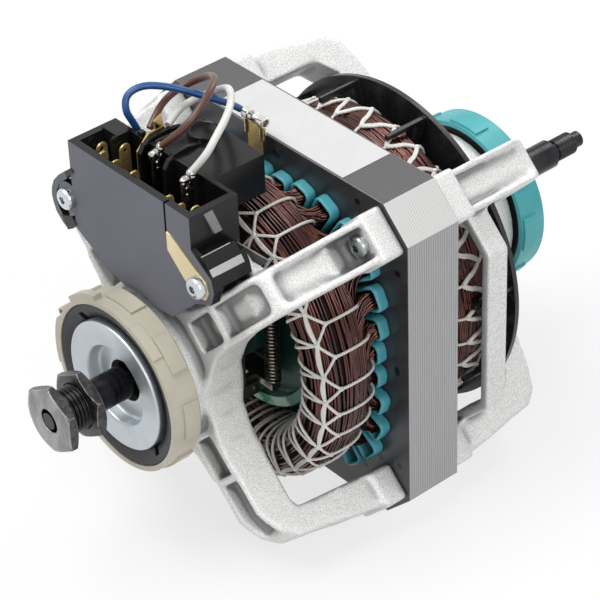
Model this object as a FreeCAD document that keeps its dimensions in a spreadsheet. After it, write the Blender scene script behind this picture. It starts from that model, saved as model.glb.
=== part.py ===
import FreeCAD, Part
import math
import os
import re
import Sketcher
from FreeCAD import Placement, Rotation, Vector

# Open-frame dryer motor, in millimetres.
# The shaft runs along Y: the belt end points to -Y and the blower end to +Y.
# Z is up, and the origin lies on the shaft in the middle of the laminated stack.

DIMENSIONS = {
    # Laminated stack
    "core_half": 70.0,
    "core_chamfer": 12.4,
    "stack_depth": 24.4,
    "bore_radius": 40.0,
    "slot_mouth": 2.4,
    "tooth_tip": 2.4,
    "tooth_width": 4.0,
    "bolt_inset": 9.2,
    "bolt_radius": 2.4,
    "bolt_clearance": 0.25,
    "bolt_head_radius": 4.3,
    "bolt_head_height": 3.4,
    # Slot insulation and copper
    "liner_gauge": 0.8,
    "liner_clearance": 0.1,
    "cuff_length": 4.2,
    "copper_clearance": 0.3,
    "wire_radius": 2.25,
    "wire_pitch": 5.7,
    "front_layer_pitch": 6.8,
    "rear_layer_pitch": 5.4,
    "winding_inner": 43.4,
    "winding_gap": 6.3,
    "lacing_gauge": 0.8,
    "lacing_width": 1.4,
    "lacing_slack": 0.35,
    "lacing_bevel": 1.2,
    # Rotor
    "air_gap": 0.4,
    "end_ring_depth": 4.8,
    "end_ring_wall": 15.0,
    "shaft_radius": 6.35,
    "shaft_mid_radius": 8.0,
    "shaft_tail_radius": 6.0,
    "shoulder_front": 66.0,
    "shoulder_rear": 67.0,
    "tail_start": 92.0,
    "tail_end": 131.0,
    "relief_length": 2.0,
    "relief_radius": 3.9,
    "tail_thread_radius": 4.35,
    "tail_thread_length": 9.5,
    "pilot_radius": 3.35,
    "pilot_length": 5.0,
    "cross_hole_radius": 1.5,
    "cross_hole_place": 88.5,
    # Belt end
    "stub_front": 117.5,
    "stub_radius": 8.75,
    "stub_length": 14.0,
    "spigot_radius": 3.3,
    "spigot_length": 4.3,
    "nut_across_flats": 24.2,
    "outer_nut_depth": 4.5,
    "outer_nut_hole": 4.7,
    "jam_nut_depth": 3.4,
    # End frames
    "arm_half_width": 8.5,
    "arm_inset": 3.4,
    "arm_depth": 12.8,
    "rib_place": 50.0,
    "spoke_bend": 66.5,
    "rib_gauge": 3.0,
    "foot_length": 10.0,
    "foot_rise": 1.4,
    "foot_half_width": 9.6,
    "lip_width": 2.4,
    "channel_depth": 3.6,
    "pocket_depth": 7.0,
    "front_face": 71.8,
    "front_inside": 54.5,
    "rear_face": 71.0,
    "rear_inside": 54.5,
    "hub_radius": 34.0,
    "waist_radius": 28.5,
    "web_bow": 39.5,
    "nose_radius": 26.0,
    "front_nose": 91.5,
    "rear_nose": 91.5,
    "tie_bar_face": 70.6,
    "tie_bar_thick": 4.0,
    "tie_bar_depth": 10.0,
    "tie_bar_place": 27.0,
    # Resilient mount
    "rubber_wall": 6.3,
    "mount_wall": 2.0,
    "mount_length": 12.0,
    "front_mount_face": 92.0,
    "rear_mount_face": 93.0,
    "lug_rise": 0.9,
    "seat_clearance": 0.05,
    # Bearings
    "bush_radius": 11.0,
    "bush_length": 14.5,
    "front_bush_face": 82.5,
    "rear_bush_face": 83.5,
    "running_clearance": 0.03,
    "felt_radius": 15.0,
    "cap_gauge": 0.9,
    "cap_rim": 25.8,
    "cap_bowl": 15.0,
    "cap_bowl_depth": 3.6,
    "cap_hole": 8.2,
    "washer_radius": 10.4,
    "washer_gauge": 1.5,
    # Fan
    "fan_radius": 67.2,
    "fan_disc_place": 44.5,
    "fan_disc_gauge": 2.0,
    "fan_hub_radius": 13.0,
    "fan_hub_length": 11.0,
    "blade_gauge": 1.6,
    "blade_tip_length": 19.0,
    "blade_tip_width": 2.3,
    "blade_inset": 1.2,
    "blade_root_length": 3.0,
    # Governor and collar
    "collar_rim_radius": 38.0,
    "collar_rim_wall": 4.0,
    "collar_face": 29.0,
    "collar_rim_depth": 8.0,
    "collar_web": 3.0,
    "collar_sleeve_radius": 13.0,
    "collar_sleeve_front": 36.5,
    "collar_clearance": 0.06,
    "governor_place": 47.0,
    "governor_gauge": 2.0,
    "governor_half_width": 17.0,
    "pivot_height": 19.0,
    "pivot_place": 41.0,
    "pivot_radius": 1.2,
    "pivot_clearance": 0.06,
    "weight_half_width": 12.0,
    "weight_inner": 17.0,
    "weight_outer": 26.0,
    "weight_front": 37.5,
    "weight_rear": 28.5,
    "spring_place": 20.0,
    "spring_radius": 2.6,
    "spring_wire": 0.45,
    # Start switch
    "switch_left": 35.0,
    "switch_right": 33.0,
    "switch_top": 83.0,
    "switch_floor": 47.0,
    "switch_face": 78.5,
    "plate_gauge": 4.0,
    "switch_back": 57.0,
    "plate_drop": 14.0,
    "slit_place": 19.5,
    "slit_width": 1.0,
    "well_wall": 3.0,
    "well_back": 1.6,
    "divider_left": 14.5,
    "divider_right": 0.5,
    "divider_gauge": 2.0,
    "trough_depth": 12.0,
    "trough_width": 3.5,
    "lobe_reach": 7.0,
    "lobe_depth": 17.5,
    "well_depth": 26.0,
    "switch_screw_x": 37.4,
    "switch_screw_z": 57.6,
    "ear_radius": 6.2,
    "boss_radius": 5.2,
    "boss_web_half": 4.0,
    "screw_head_radius": 4.2,
    "screw_head_height": 3.4,
    "screw_radius": 1.6,
    "rear_block_floor": 67.0,
    "rear_block_back": 34.0,
    "rear_block_left": 12.6,
    "rear_block_right": 20.0,
    "ledge_left": 24.0,
    "ledge_depth": 12.0,
    "ledge_top": 79.0,
    "terminal_width": 5.0,
    "terminal_gauge": 0.8,
    "solder_half_width": 1.6,
    "solder_height": 2.6,
    "lever_pin_y": 52.0,
    "lever_pin_z": 62.0,
    "lever_pin_radius": 1.2,
    "lever_half_width": 4.0,
    "lever_gauge": 2.5,
    "lever_clearance": 0.3,
    "bridge_half_width": 12.0,
    # Leads, the blade they plug on and the label
    "lead_radius": 1.35,
    "blade_left": 11.0,
    "blade_right": 3.5,
    "blade_place": 16.0,
    "blade_foot": 63.5,
    "blade_top": 75.0,
    "flag_wall": 0.9,
    "label_left": 35.0,
    "label_right": 35.5,
    "label_margin": 0.8,
    "label_gauge": 0.2,
}

SLOT_COUNT = 32
ARM_COUNT = 4
BLADE_COUNT = 11
LUG_COUNT = 8
LACING_COUNT = 16
WINDING_LAYERS = 4
HALF_TURNS_IN_LAYER = 6
SPRING_COILS = 21
BLADE_TURN = -8.5
CROSS_HOLE_TURN = 50
# Slot floors from the middle of a side to the corner: the copper goes deeper towards the corner
SLOT_FLOORS = {"slot_floor_a": 58.0, "slot_floor_b": 61.5, "slot_floor_c": 65.5, "slot_floor_d": 68.5}
DIMENSIONS.update(SLOT_FLOORS)

# Places that follow from the sizes above, counted from the shaft along a diagonal of the stack
DIAGONALS = {
    "corner_reach": "((2 * core_half - core_chamfer) * sqrt(0.5))",
    "bolt_circle": "(corner_reach - bolt_inset)",
    "arm_outer": "(corner_reach - arm_inset)",
    "arm_inner": "(corner_reach - arm_inset - arm_depth)",
}
SKETCH_START = 50

doc = FreeCAD.newDocument("DryerMotor")
sheet = doc.addObject("Spreadsheet::Sheet", "Sizes")
for row, (alias, number) in enumerate(DIMENSIONS.items(), start=1):
    sheet.set(f"A{row}", alias)
    sheet.set(f"B{row}", str(number))
    sheet.setAlias(f"B{row}", alias)
doc.recompute()

pieces = []


def size(alias):
    """The number in a named cell."""
    return float(sheet.get(alias))


def bound(text):
    """An expression in which every size name points to its cell."""
    return re.sub(r"[a-z][a-z_]+", lambda word: qualified(word.group()), text)


def qualified(word):
    if word in DIAGONALS:
        return bound(DIAGONALS[word])
    return "Sizes." + word if word in DIMENSIONS else word


def keep(item, name):
    """Marks an object as a finished piece of the motor."""
    item.Label = name
    pieces.append(item)
    return item


def origin_plane(body, role):
    return next(feature for feature in body.Origin.OriginFeatures if feature.Role == role)


def outline(body, name, role, corners, shift="0", turn=0.0):
    """A closed outline of straight runs whose corners are held by two expressions each."""
    sketch = body.newObject("Sketcher::SketchObject", name)
    sketch.AttachmentSupport = [(origin_plane(body, role), "")]
    sketch.MapMode = "FlatFace"
    sketch.AttachmentOffset = Placement(Vector(0, 0, 0), Rotation(Vector(0, 0, 1), turn))
    sketch.setExpression("AttachmentOffset.Base.z", bound(shift))
    count = len(corners)
    turns = [2 * math.pi * i / count for i in range(count)]
    start = [Vector(SKETCH_START * math.cos(turn), SKETCH_START * math.sin(turn), 0) for turn in turns]
    for i in range(count):
        sketch.addGeometry(Part.LineSegment(start[i], start[(i + 1) % count]), False)
    for i in range(count):
        sketch.addConstraint(Sketcher.Constraint("Coincident", i, 2, (i + 1) % count, 1))
    for i, (across, along) in enumerate(corners):
        hold(sketch, "DistanceX", i, across, -2, start[i].x)
        hold(sketch, "DistanceY", i, along, -1, start[i].y)
    return sketch


def hold(sketch, kind, line, text, axis, first):
    """Holds a line's start at a distance from the origin, or on the axis where the distance is nil."""
    if text == "0":
        sketch.addConstraint(Sketcher.Constraint("PointOnObject", line, 1, axis))
        return
    index = sketch.addConstraint(Sketcher.Constraint(kind, -1, 1, line, 1, first))
    sketch.setExpression(f"Constraints[{index}]", bound(text))


def turned(name, corners):
    """A body turned about the shaft from a profile of radius and place."""
    body = doc.addObject("PartDesign::Body", name)
    sketch = outline(body, name + "_profile", "XY_Plane", corners)
    turn = body.newObject("PartDesign::Revolution", name + "_turn")
    turn.Profile = sketch
    turn.ReferenceAxis = (sketch, ["V_Axis"])
    turn.Angle = 360
    return body


def drum(name, radius, start, end, across="0", up="0"):
    """A cylinder along the shaft's direction, from one place to another."""
    solid = doc.addObject("Part::Cylinder", name)
    solid.Placement = Placement(Vector(0, 0, 0), Rotation(Vector(1, 0, 0), -90))
    solid.setExpression("Radius", bound(radius))
    solid.setExpression("Height", bound(f"({end}) - ({start})"))
    solid.setExpression("Placement.Base.x", bound(across))
    solid.setExpression("Placement.Base.y", bound(start))
    solid.setExpression("Placement.Base.z", bound(up))
    return solid


def cross_pin(name, radius, start, end, along, up):
    """A cylinder along X."""
    solid = doc.addObject("Part::Cylinder", name)
    solid.Placement = Placement(Vector(0, 0, 0), Rotation(Vector(0, 1, 0), 90))
    solid.setExpression("Radius", bound(radius))
    solid.setExpression("Height", bound(f"({end}) - ({start})"))
    solid.setExpression("Placement.Base.x", bound(start))
    solid.setExpression("Placement.Base.y", bound(along))
    solid.setExpression("Placement.Base.z", bound(up))
    return solid


def block(name, x_span, y_span, z_span):
    """A box between its three pairs of faces."""
    solid = doc.addObject("Part::Box", name)
    for side, axis, span in (("Length", "x", x_span), ("Width", "y", y_span), ("Height", "z", z_span)):
        solid.setExpression(side, bound(f"({span[1]}) - ({span[0]})"))
        solid.setExpression(f"Placement.Base.{axis}", bound(span[0]))
    return solid


def joined(name, solids):
    whole = doc.addObject("Part::MultiFuse", name)
    whole.Shapes = solids
    whole.Refine = True
    return whole


def grouped(name, solids):
    whole = doc.addObject("Part::Compound", name)
    whole.Links = solids
    return whole


def cut_from(name, base, tools):
    tool = tools[0] if len(tools) == 1 else joined(name + "_tools", tools)
    whole = doc.addObject("Part::Cut", name)
    whole.Base = base
    whole.Tool = tool
    whole.Refine = True
    return whole


def made(name, shape):
    """A piece whose shape is worked out from the sheet's numbers."""
    item = doc.addObject("Part::Feature", name)
    item.Shape = shape
    item.Placement = Placement()
    return keep(item, name)


def prism_along_shaft(corners, start, end):
    """A straight prism between two places, from corners given as (x, z)."""
    points = [Vector(x, start, z) for x, z in corners]
    face = Part.Face(Part.makePolygon(points + points[:1]))
    return face.extrude(Vector(0, end - start, 0))


# Laminated stack, its insulation and its copper

def half_slot_angle():
    return 180.0 / SLOT_COUNT


def slot_plan():
    """Angle and floor name of each slot in one quarter, measured from the middle of its side."""
    plan = []
    for step, floor in enumerate(SLOT_FLOORS):
        angle = (2 * step + 1) * half_slot_angle()
        plan.append((angle, floor))
        plan.append((-angle, floor))
    return plan


def stator_core():
    body = doc.addObject("PartDesign::Body", "core_body")
    side = "core_half"
    shoulder = "core_half - core_chamfer"
    corners = [(side, f"-({shoulder})"), (side, shoulder), (shoulder, side), (f"-({shoulder})", side),
               (f"-({side})", shoulder), (f"-({side})", f"-({shoulder})"),
               (f"-({shoulder})", f"-({side})"), (shoulder, f"-({side})")]
    sheet_outline = outline(body, "core_outline", "XZ_Plane", corners, shift="-stack_depth / 2")
    pad = body.newObject("PartDesign::Pad", "core_pad")
    pad.Profile = sheet_outline
    pad.setExpression("Length", bound("stack_depth"))
    slots = []
    taper = f"tan({half_slot_angle()})"
    for index, (angle, floor) in enumerate(slot_plan()):
        neck = "bore_radius + tooth_tip"
        inner_half = f"({neck}) * {taper} - tooth_width / 2"
        outer_half = f"{floor} * {taper} - tooth_width / 2"
        corners = [("bore_radius - 2", "slot_mouth / 2"), (neck, "slot_mouth / 2"), (neck, inner_half),
                   (floor, outer_half), (floor, f"-({outer_half})"), (neck, f"-({inner_half})"),
                   (neck, "-slot_mouth / 2"), ("bore_radius - 2", "-slot_mouth / 2")]
        slot_outline = outline(body, f"slot_outline_{index}", "XZ_Plane", corners, turn=angle)
        slot = body.newObject("PartDesign::Pocket", f"slot_{index}")
        slot.Profile = slot_outline
        slot.Type = "ThroughAll"
        slot.Midplane = True
        slots.append(slot)
    pattern = body.newObject("PartDesign::PolarPattern", "slot_pattern")
    pattern.Originals = slots
    pattern.Axis = (origin_plane(body, "Y_Axis"), [""])
    pattern.Angle = 360
    pattern.Occurrences = 4
    body.Tip = pattern
    cutters = [drum("core_bore", "bore_radius", "-stack_depth", "stack_depth")]
    for index in range(ARM_COUNT):
        cutters.append(corner_drum(f"core_bolt_hole_{index}", "bolt_radius + bolt_clearance",
                                   "-stack_depth", "stack_depth", index))
    keep(cut_from("stator_core", body, cutters), "stator_core")


def corner_drum(name, radius, start, end, index):
    """A cylinder along the shaft's direction on one of the four corner bolt lines."""
    signs = [(1, 1), (-1, 1), (-1, -1), (1, -1)][index]
    reach = "bolt_circle * sqrt(0.5)"
    return drum(name, radius, start, end, across=f"{signs[0]} * {reach}", up=f"{signs[1]} * {reach}")


def every_slot():
    """Angle and floor radius of all the slots."""
    for quarter in range(4):
        for angle, floor in slot_plan():
            yield 90.0 * quarter + angle, size(floor)


def about_shaft(shape, angle):
    """A copy turned about the shaft, from the right-hand side towards the top."""
    copy = shape.copy()
    copy.rotate(Vector(0, 0, 0), Vector(0, -1, 0), angle)
    return copy


def slot_half_width(radius):
    return radius * math.tan(math.radians(half_slot_angle())) - size("tooth_width") / 2


def slot_liners():
    """A folded U of insulation in each slot, longer than the stack by a cuff at each end."""
    gap = size("liner_clearance")
    gauge = size("liner_gauge")
    reach = size("stack_depth") / 2 + size("cuff_length")
    inner = size("bore_radius") + size("tooth_tip") + gap
    solids = []
    for angle, floor in every_slot():
        outer = floor - gap
        near = slot_half_width(inner) - gap
        far = slot_half_width(outer) - gap
        ring = [(inner, near), (outer, far), (outer, -far), (inner, -near),
                (inner, gauge - near), (outer - gauge, gauge - far), (outer - gauge, far - gauge),
                (inner, near - gauge)]
        solids.append(about_shaft(prism_along_shaft(ring, -reach, reach), angle))
    made("slot_liners", Part.makeCompound(solids))


def coil_sides():
    """The copper in each slot, from one end winding to the other."""
    wall = size("liner_clearance") + size("liner_gauge") + size("copper_clearance")
    reach = size("stack_depth") / 2 + size("winding_gap") - size("copper_clearance")
    inner = size("winding_inner")
    solids = []
    for angle, floor in every_slot():
        outer = min(floor - wall, winding_outer())
        near = slot_half_width(inner) - wall
        far = slot_half_width(outer) - wall
        wedge = [(inner, near), (outer, far), (outer, -far), (inner, -near)]
        solids.append(about_shaft(prism_along_shaft(wedge, -reach, reach), angle))
    made("coil_sides", Part.makeCompound(solids))


def winding_outer():
    steps = (HALF_TURNS_IN_LAYER - 1) / 2
    return size("winding_inner") + 2 * size("wire_radius") + steps * size("wire_pitch")


def winding_depth(layer_pitch):
    return (WINDING_LAYERS - 1) * layer_pitch + 2 * size("wire_radius")


def winding_path(layer_pitch, direction):
    """Half turns that spiral out, climb a layer and spiral in again, as places on the X axis."""
    first = size("winding_inner") + size("wire_radius")
    start = size("stack_depth") / 2 + size("winding_gap") + size("wire_radius")
    steps = HALF_TURNS_IN_LAYER
    stops = []
    for layer in range(WINDING_LAYERS):
        order = range(steps) if layer % 2 == 0 else range(steps - 1, -1, -1)
        for step in order:
            radius = first + step * size("wire_pitch") / 2
            side = 1 if len(stops) % 2 == 0 else -1
            stops.append(Vector(side * radius, direction * (start + layer * layer_pitch), 0))
    return stops


def half_turn(start, end, upper):
    """A half circle between two stops, over or under the shaft."""
    middle = (start + end) / 2
    rise = (end - start).Length / 2
    return Part.Arc(start, middle + Vector(0, 0, rise if upper else -rise), end)


def end_winding(name, layer_pitch, direction):
    stops = winding_path(layer_pitch, direction)
    arcs = [half_turn(stops[i], stops[i + 1], i % 2 == 0) for i in range(len(stops) - 1)]
    path = Part.Wire([arc.toShape() for arc in arcs])
    section = Part.Wire(Part.Circle(stops[0], Vector(0, 0, 1), size("wire_radius")).toShape())
    tube = path.makePipeShell([section], True, False)
    print(f"{name}: {len(arcs)} half turns, length {path.Length:.0f}, least gap {least_gap(arcs):.2f}")
    made(name, tube)


def least_gap(arcs):
    """The least distance between the wire's surfaces, from points along the path."""
    points = [arc.value(arc.FirstParameter + (arc.LastParameter - arc.FirstParameter) * step / 24)
              for arc in arcs for step in range(24)]
    gap = 1e9
    for index, point in enumerate(points):
        for other in points[index + 30:]:
            gap = min(gap, point.distanceToPoint(other))
    return gap - 2 * size("wire_radius")


def lacing(name, layer_pitch, direction):
    """Flat cord bands tied round the bundle, each over a tooth."""
    slack = size("lacing_slack")
    start = size("stack_depth") / 2 + size("winding_gap") - slack
    end = size("stack_depth") / 2 + size("winding_gap") + winding_depth(layer_pitch) + slack
    inner = size("winding_inner") - slack
    outer = winding_outer() + slack
    gauge = size("lacing_gauge")
    half = size("lacing_width") / 2
    solids = []
    for index in range(LACING_COUNT):
        band = ring_plate(inner, outer, start, end, direction, 0.0, half)
        rim = ring_plate(inner - gauge, outer + gauge, start - gauge, end + gauge, direction,
                         size("lacing_bevel"), half)
        solids.append(about_shaft(rim.cut(band), 360.0 * index / LACING_COUNT))
    made(name, Part.makeCompound(solids))


def ring_plate(inner, outer, start, end, direction, bevel, half):
    """A plate in the plane of the shaft, with bevelled corners, on the right-hand side of one end."""
    corners = [(inner + bevel, start), (outer - bevel, start), (outer, start + bevel), (outer, end - bevel),
               (outer - bevel, end), (inner + bevel, end), (inner, end - bevel), (inner, start + bevel)]
    if bevel == 0.0:
        corners = [(inner, start), (outer, start), (outer, end), (inner, end)]
    points = [Vector(x, direction * y, -half) for x, y in corners]
    return Part.Face(Part.makePolygon(points + points[:1])).extrude(Vector(0, 0, 2 * half))


# End frames: a hub with four channel arms

def pocketed_arm(body, name, arm_corners, pockets):
    """One arm in the plane of the shaft with its channel and pockets, repeated round the hub."""
    arm_outline = outline(body, name + "_arm_outline", "XY_Plane", arm_corners)
    arm = body.newObject("PartDesign::Pad", name + "_arm")
    arm.Profile = arm_outline
    arm.Midplane = True
    arm.setExpression("Length", bound("2 * arm_half_width"))
    features = [arm]
    for index, corners in enumerate(pockets):
        pocket_outline = outline(body, f"{name}_pocket_outline_{index}", "XY_Plane", corners)
        pocket = body.newObject("PartDesign::Pocket", f"{name}_pocket_{index}")
        pocket.Profile = pocket_outline
        pocket.Midplane = True
        pocket.setExpression("Length", bound("2 * (arm_half_width - lip_width)"))
        features.append(pocket)
    return features


def foot(body, name, sign):
    """The thicker pad at the end of an arm, which stands on the stack and takes the bolt."""
    near = f"{sign} * stack_depth / 2"
    far = f"{sign} * (stack_depth / 2 + foot_length)"
    corners = [("arm_inner", near), ("arm_outer + foot_rise", near), ("arm_outer + foot_rise", far),
               ("arm_inner", far)]
    foot_outline = outline(body, name + "_foot_outline", "XY_Plane", corners)
    pad = body.newObject("PartDesign::Pad", name + "_foot")
    pad.Profile = foot_outline
    pad.Midplane = True
    pad.setExpression("Length", bound("2 * foot_half_width"))
    return pad


def frame_casting(name, sign, hub_corners, arm_corners, pockets):
    """Hub, arms and feet of one end frame, with the arms on the diagonals."""
    body = doc.addObject("PartDesign::Body", name + "_casting")
    hub_outline = outline(body, name + "_hub_outline", "XY_Plane", hub_corners)
    hub = body.newObject("PartDesign::Revolution", name + "_hub")
    hub.Profile = hub_outline
    hub.ReferenceAxis = (hub_outline, ["V_Axis"])
    hub.Angle = 360
    features = pocketed_arm(body, name, arm_corners, pockets)
    features.append(foot(body, name, sign))
    pattern = body.newObject("PartDesign::PolarPattern", name + "_arms")
    pattern.Originals = features
    pattern.Axis = (origin_plane(body, "Y_Axis"), [""])
    pattern.Angle = 360
    pattern.Occurrences = ARM_COUNT
    body.Tip = pattern
    body.Placement = Placement(Vector(0, 0, 0), Rotation(Vector(0, 1, 0), 45))
    return body


def hub_profile(body_radius, shoulder, face, inside, nose, bush_face, sign):
    """Dome, nose and bearing seat of a hub, as radius and place."""
    def at(text):
        return f"{sign} * ({text})"
    bush_back = f"{bush_face} - bush_length"
    return [("bush_radius + seat_clearance", at(bush_face)),
            ("felt_radius + seat_clearance", at(bush_face)),
            ("felt_radius + seat_clearance", at(nose)),
            ("nose_radius", at(nose)),
            ("nose_radius", at(f"{nose} - mount_length + 0.6")),
            (shoulder, at(f"{nose} - mount_length + 0.6")),
            (body_radius, at(face)),
            (body_radius, at(inside)),
            (f"{body_radius} - 4", at(inside)),
            (f"{body_radius} - 8", at(f"{bush_back} - 2")),
            ("bush_radius + seat_clearance", at(f"{bush_back} - 2"))]


def boss_web(name, side, front):
    """Web from a switch boss to the side of the arm beside it."""
    body = doc.addObject("PartDesign::Body", f"switch_boss_web_{name}")
    reach = "(switch_screw_z - switch_screw_x) * sqrt(0.5) - arm_half_width + lip_width / 2"
    corners = []
    for along, across in (("0", "1"), (reach, "1"), (reach, "-1"), ("0", "-1")):
        corners.append((f"{side} * (switch_screw_x + ({along} + {across} * boss_web_half) * sqrt(0.5))",
                        f"switch_screw_z + ({across} * boss_web_half - ({along})) * sqrt(0.5)"))
    web_outline = outline(body, f"boss_web_outline_{name}", "XZ_Plane", corners, shift=front)
    pad = body.newObject("PartDesign::Pad", f"boss_web_pad_{name}")
    pad.Profile = web_outline
    pad.Reversed = True
    pad.setExpression("Length", bound(f"{front} - front_inside - 1"))
    return body


def spoke_webs():
    """Webs between the spokes, each hollowed outwards by an arc that runs into both spokes."""
    body = doc.addObject("PartDesign::Body", "spoke_webs")
    corners = []
    for step in range(-3, 4):
        turn = math.radians(15 * step)
        corners.append((f"arm_half_width * sqrt(2) + web_bow * (sqrt(2) - {math.cos(turn):.5f})",
                        f"web_bow * {math.sin(turn):.5f}"))
    inward = "arm_half_width * sqrt(2) + web_bow * sqrt(0.5) - 1.5"
    corners += [(inward, "web_bow * sqrt(0.5) + 1.5"),
                ("(waist_radius - 1.7) * 0.866", "(waist_radius - 1.7) / 2"), ("waist_radius - 1.7", "0"),
                ("(waist_radius - 1.7) * 0.866", "-(waist_radius - 1.7) / 2"),
                (inward, "-(web_bow * sqrt(0.5) + 1.5)")]
    web_outline = outline(body, "web_outline", "XZ_Plane", corners, shift="front_face")
    pad = body.newObject("PartDesign::Pad", "web_pad")
    pad.Profile = web_outline
    pad.Reversed = True
    pad.setExpression("Length", bound("front_face - front_inside - 1.5"))
    pattern = body.newObject("PartDesign::PolarPattern", "web_pattern")
    pattern.Originals = [pad]
    pattern.Axis = (origin_plane(body, "Y_Axis"), [""])
    pattern.Angle = 360
    pattern.Occurrences = ARM_COUNT
    body.Tip = pattern
    return body


def front_end_frame():
    face = "front_face"
    hub = hub_profile("waist_radius", "waist_radius - 0.5", face, "front_inside", "front_nose",
                      "front_bush_face", -1)
    arm = [("waist_radius - 2", "-front_face"), ("spoke_bend - 0.5", "-(front_face - 1.2)"),
           ("arm_inner + 1", "-(front_face - 4.5)"), ("arm_outer - 5.8", "-(front_face - 12)"),
           ("arm_outer", "-(stack_depth / 2 + foot_length - 1)"),
           ("arm_outer", "-stack_depth / 2"), ("arm_inner", "-stack_depth / 2"),
           ("arm_inner - 3.5", "-(front_inside - 0.5)"), ("arm_inner - 7", "-(front_inside + 1.5)"),
           ("waist_radius - 2", "-front_inside")]
    foot_face = "-(stack_depth / 2 + foot_length)"
    bay = "-(stack_depth / 2 + foot_length + 6)"
    channel = [("arm_outer + 5", foot_face), ("bolt_circle - 5", foot_face), ("bolt_circle - 5", bay),
               ("arm_outer - 2.2 - channel_depth", "-(stack_depth / 2 + foot_length + 14)"),
               ("arm_outer - 5.3 - channel_depth", "-(front_face - 12)"),
               ("arm_outer + 5", "-(front_face - 12)")]
    above = "-(front_face + 2)"
    floor = "-(front_face - pocket_depth)"
    outer_pocket = [("rib_place + rib_gauge / 2", above), ("rib_place + rib_gauge / 2", floor),
                    ("spoke_bend", floor), ("arm_inner", "-(front_face - pocket_depth - 3)"),
                    ("arm_outer - 7.8", "-(front_face - 5)"), ("arm_outer - 7.8", above)]
    inner_pocket = [("waist_radius + 4", above), ("waist_radius + 4", floor),
                    ("rib_place - rib_gauge / 2", floor), ("rib_place - rib_gauge / 2", above)]
    casting = frame_casting("front", -1, hub, arm, [channel, outer_pocket, inner_pocket])
    solids = [casting, spoke_webs()]
    lobe_back = "switch_face - lobe_depth"
    for name, side, front, web_front in (("left", "-1", "switch_face - plate_gauge", "front_face - 2"),
                                         ("right", "1", lobe_back, lobe_back)):
        solids.append(drum(f"switch_boss_{name}", "boss_radius", f"-({front})", "-(front_inside + 1)",
                           across=f"{side} * switch_screw_x", up="switch_screw_z"))
        solids.append(boss_web(name, side, web_front))
    cutters = [corner_drum(f"front_bolt_hole_{index}", "bolt_radius + bolt_clearance",
                           "-(stack_depth / 2 + foot_length + 3)", "0", index) for index in range(ARM_COUNT)]
    for name, side in (("left", "-1"), ("right", "1")):
        cutters.append(drum(f"switch_boss_hole_{name}", "screw_radius", "-(switch_face + 1)",
                            "-(front_inside - 1)", across=f"{side} * switch_screw_x", up="switch_screw_z"))
    cutters.append(block("boss_room", ("-switch_left - lever_clearance", "switch_right + lever_clearance"),
                         ("-(switch_face + 1)", "-(switch_back - lever_clearance)"),
                         ("switch_floor - lever_clearance", "switch_top")))
    keep(cut_from("front_end_frame", joined("front_frame_solid", solids), cutters), "front_end_frame")


def rear_end_frame():
    hub = hub_profile("hub_radius", "hub_radius - 3.5", "rear_face", "rear_inside", "rear_nose",
                      "rear_bush_face", 1)
    arm = [("hub_radius - 3", "rear_face"), ("rib_place + 2.5", "rear_face - 2.3"),
           ("arm_outer - 9.1", "rear_face - 7.6"), ("arm_outer - 3.8", "rear_face - 13.8"),
           ("arm_outer", "stack_depth / 2 + foot_length - 1"),
           ("arm_outer", "stack_depth / 2"), ("arm_inner", "stack_depth / 2"),
           ("arm_inner - 0.5", "rear_inside - 7"), ("arm_inner - 8", "rear_inside"),
           ("hub_radius - 3", "rear_inside")]
    channel = [("arm_outer + 5", "stack_depth / 2 + foot_length - 0.5"),
               ("arm_outer - channel_depth", "stack_depth / 2 + foot_length - 0.5"),
               ("arm_outer - 3.8 - channel_depth", "rear_face - 13.8"), ("arm_outer - 9.8", "rear_face"),
               ("arm_outer + 5", "rear_face")]
    above = "rear_face + 2"
    floor = "rear_face - pocket_depth"
    long_pocket = [("rib_place + rib_gauge / 2", above), ("rib_place + rib_gauge / 2", floor),
                   ("spoke_bend + rib_gauge / 2", f"{floor} - 4"), ("spoke_bend + rib_gauge / 2", above)]
    short_pocket = [("hub_radius + 2.5", above), ("hub_radius + 2.5", floor),
                    ("rib_place - rib_gauge / 2", floor), ("rib_place - rib_gauge / 2", above)]
    casting = frame_casting("rear", 1, hub, arm, [channel, long_pocket, short_pocket])
    bar = tie_bar()
    cutters = [corner_drum(f"rear_bolt_hole_{index}", "bolt_radius", "0",
                           "stack_depth / 2 + foot_length - 1.5", index) for index in range(ARM_COUNT)]
    keep(cut_from("rear_end_frame", joined("rear_frame_solid", [casting, bar]), cutters), "rear_end_frame")


def tie_bar():
    """The bar that joins the two right-hand arms, bent to run along the stack's side."""
    body = doc.addObject("PartDesign::Body", "tie_bar")
    face = "tie_bar_face"
    back = "tie_bar_face - tie_bar_thick"
    bend = "(arm_inner + 0.8) * sqrt(2) - tie_bar_face"
    corners = [(face, bend), ("tie_bar_face - 16", f"{bend} + 16"), ("tie_bar_face - 19", f"{bend} + 13"),
               (back, f"{bend} - 2"), (back, f"-({bend} - 2)"), ("tie_bar_face - 19", f"-({bend} + 13)"),
               ("tie_bar_face - 16", f"-({bend} + 16)"), (face, f"-({bend})")]
    bar_outline = outline(body, "tie_bar_outline", "XZ_Plane", corners, shift="-tie_bar_place")
    pad = body.newObject("PartDesign::Pad", "tie_bar_pad")
    pad.Profile = bar_outline
    pad.Reversed = True
    pad.setExpression("Length", bound("tie_bar_depth"))
    return body


def frame_bolts():
    """Long pan-head bolts from the front feet through the stack into the rear feet."""
    solids = []
    head_back = "-(stack_depth / 2 + foot_length)"
    for index in range(ARM_COUNT):
        shank = corner_drum(f"bolt_shank_{index}", "bolt_radius", head_back,
                            "stack_depth / 2 + foot_length - 2", index)
        head = corner_drum(f"bolt_head_{index}", "bolt_head_radius", f"{head_back} - bolt_head_height",
                           head_back, index)
        solids.append(joined(f"frame_bolt_{index}", [shank, head]))
    keep(grouped("frame_bolts", solids), "frame_bolts")


# Resilient mounts, bearings and caps

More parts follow.
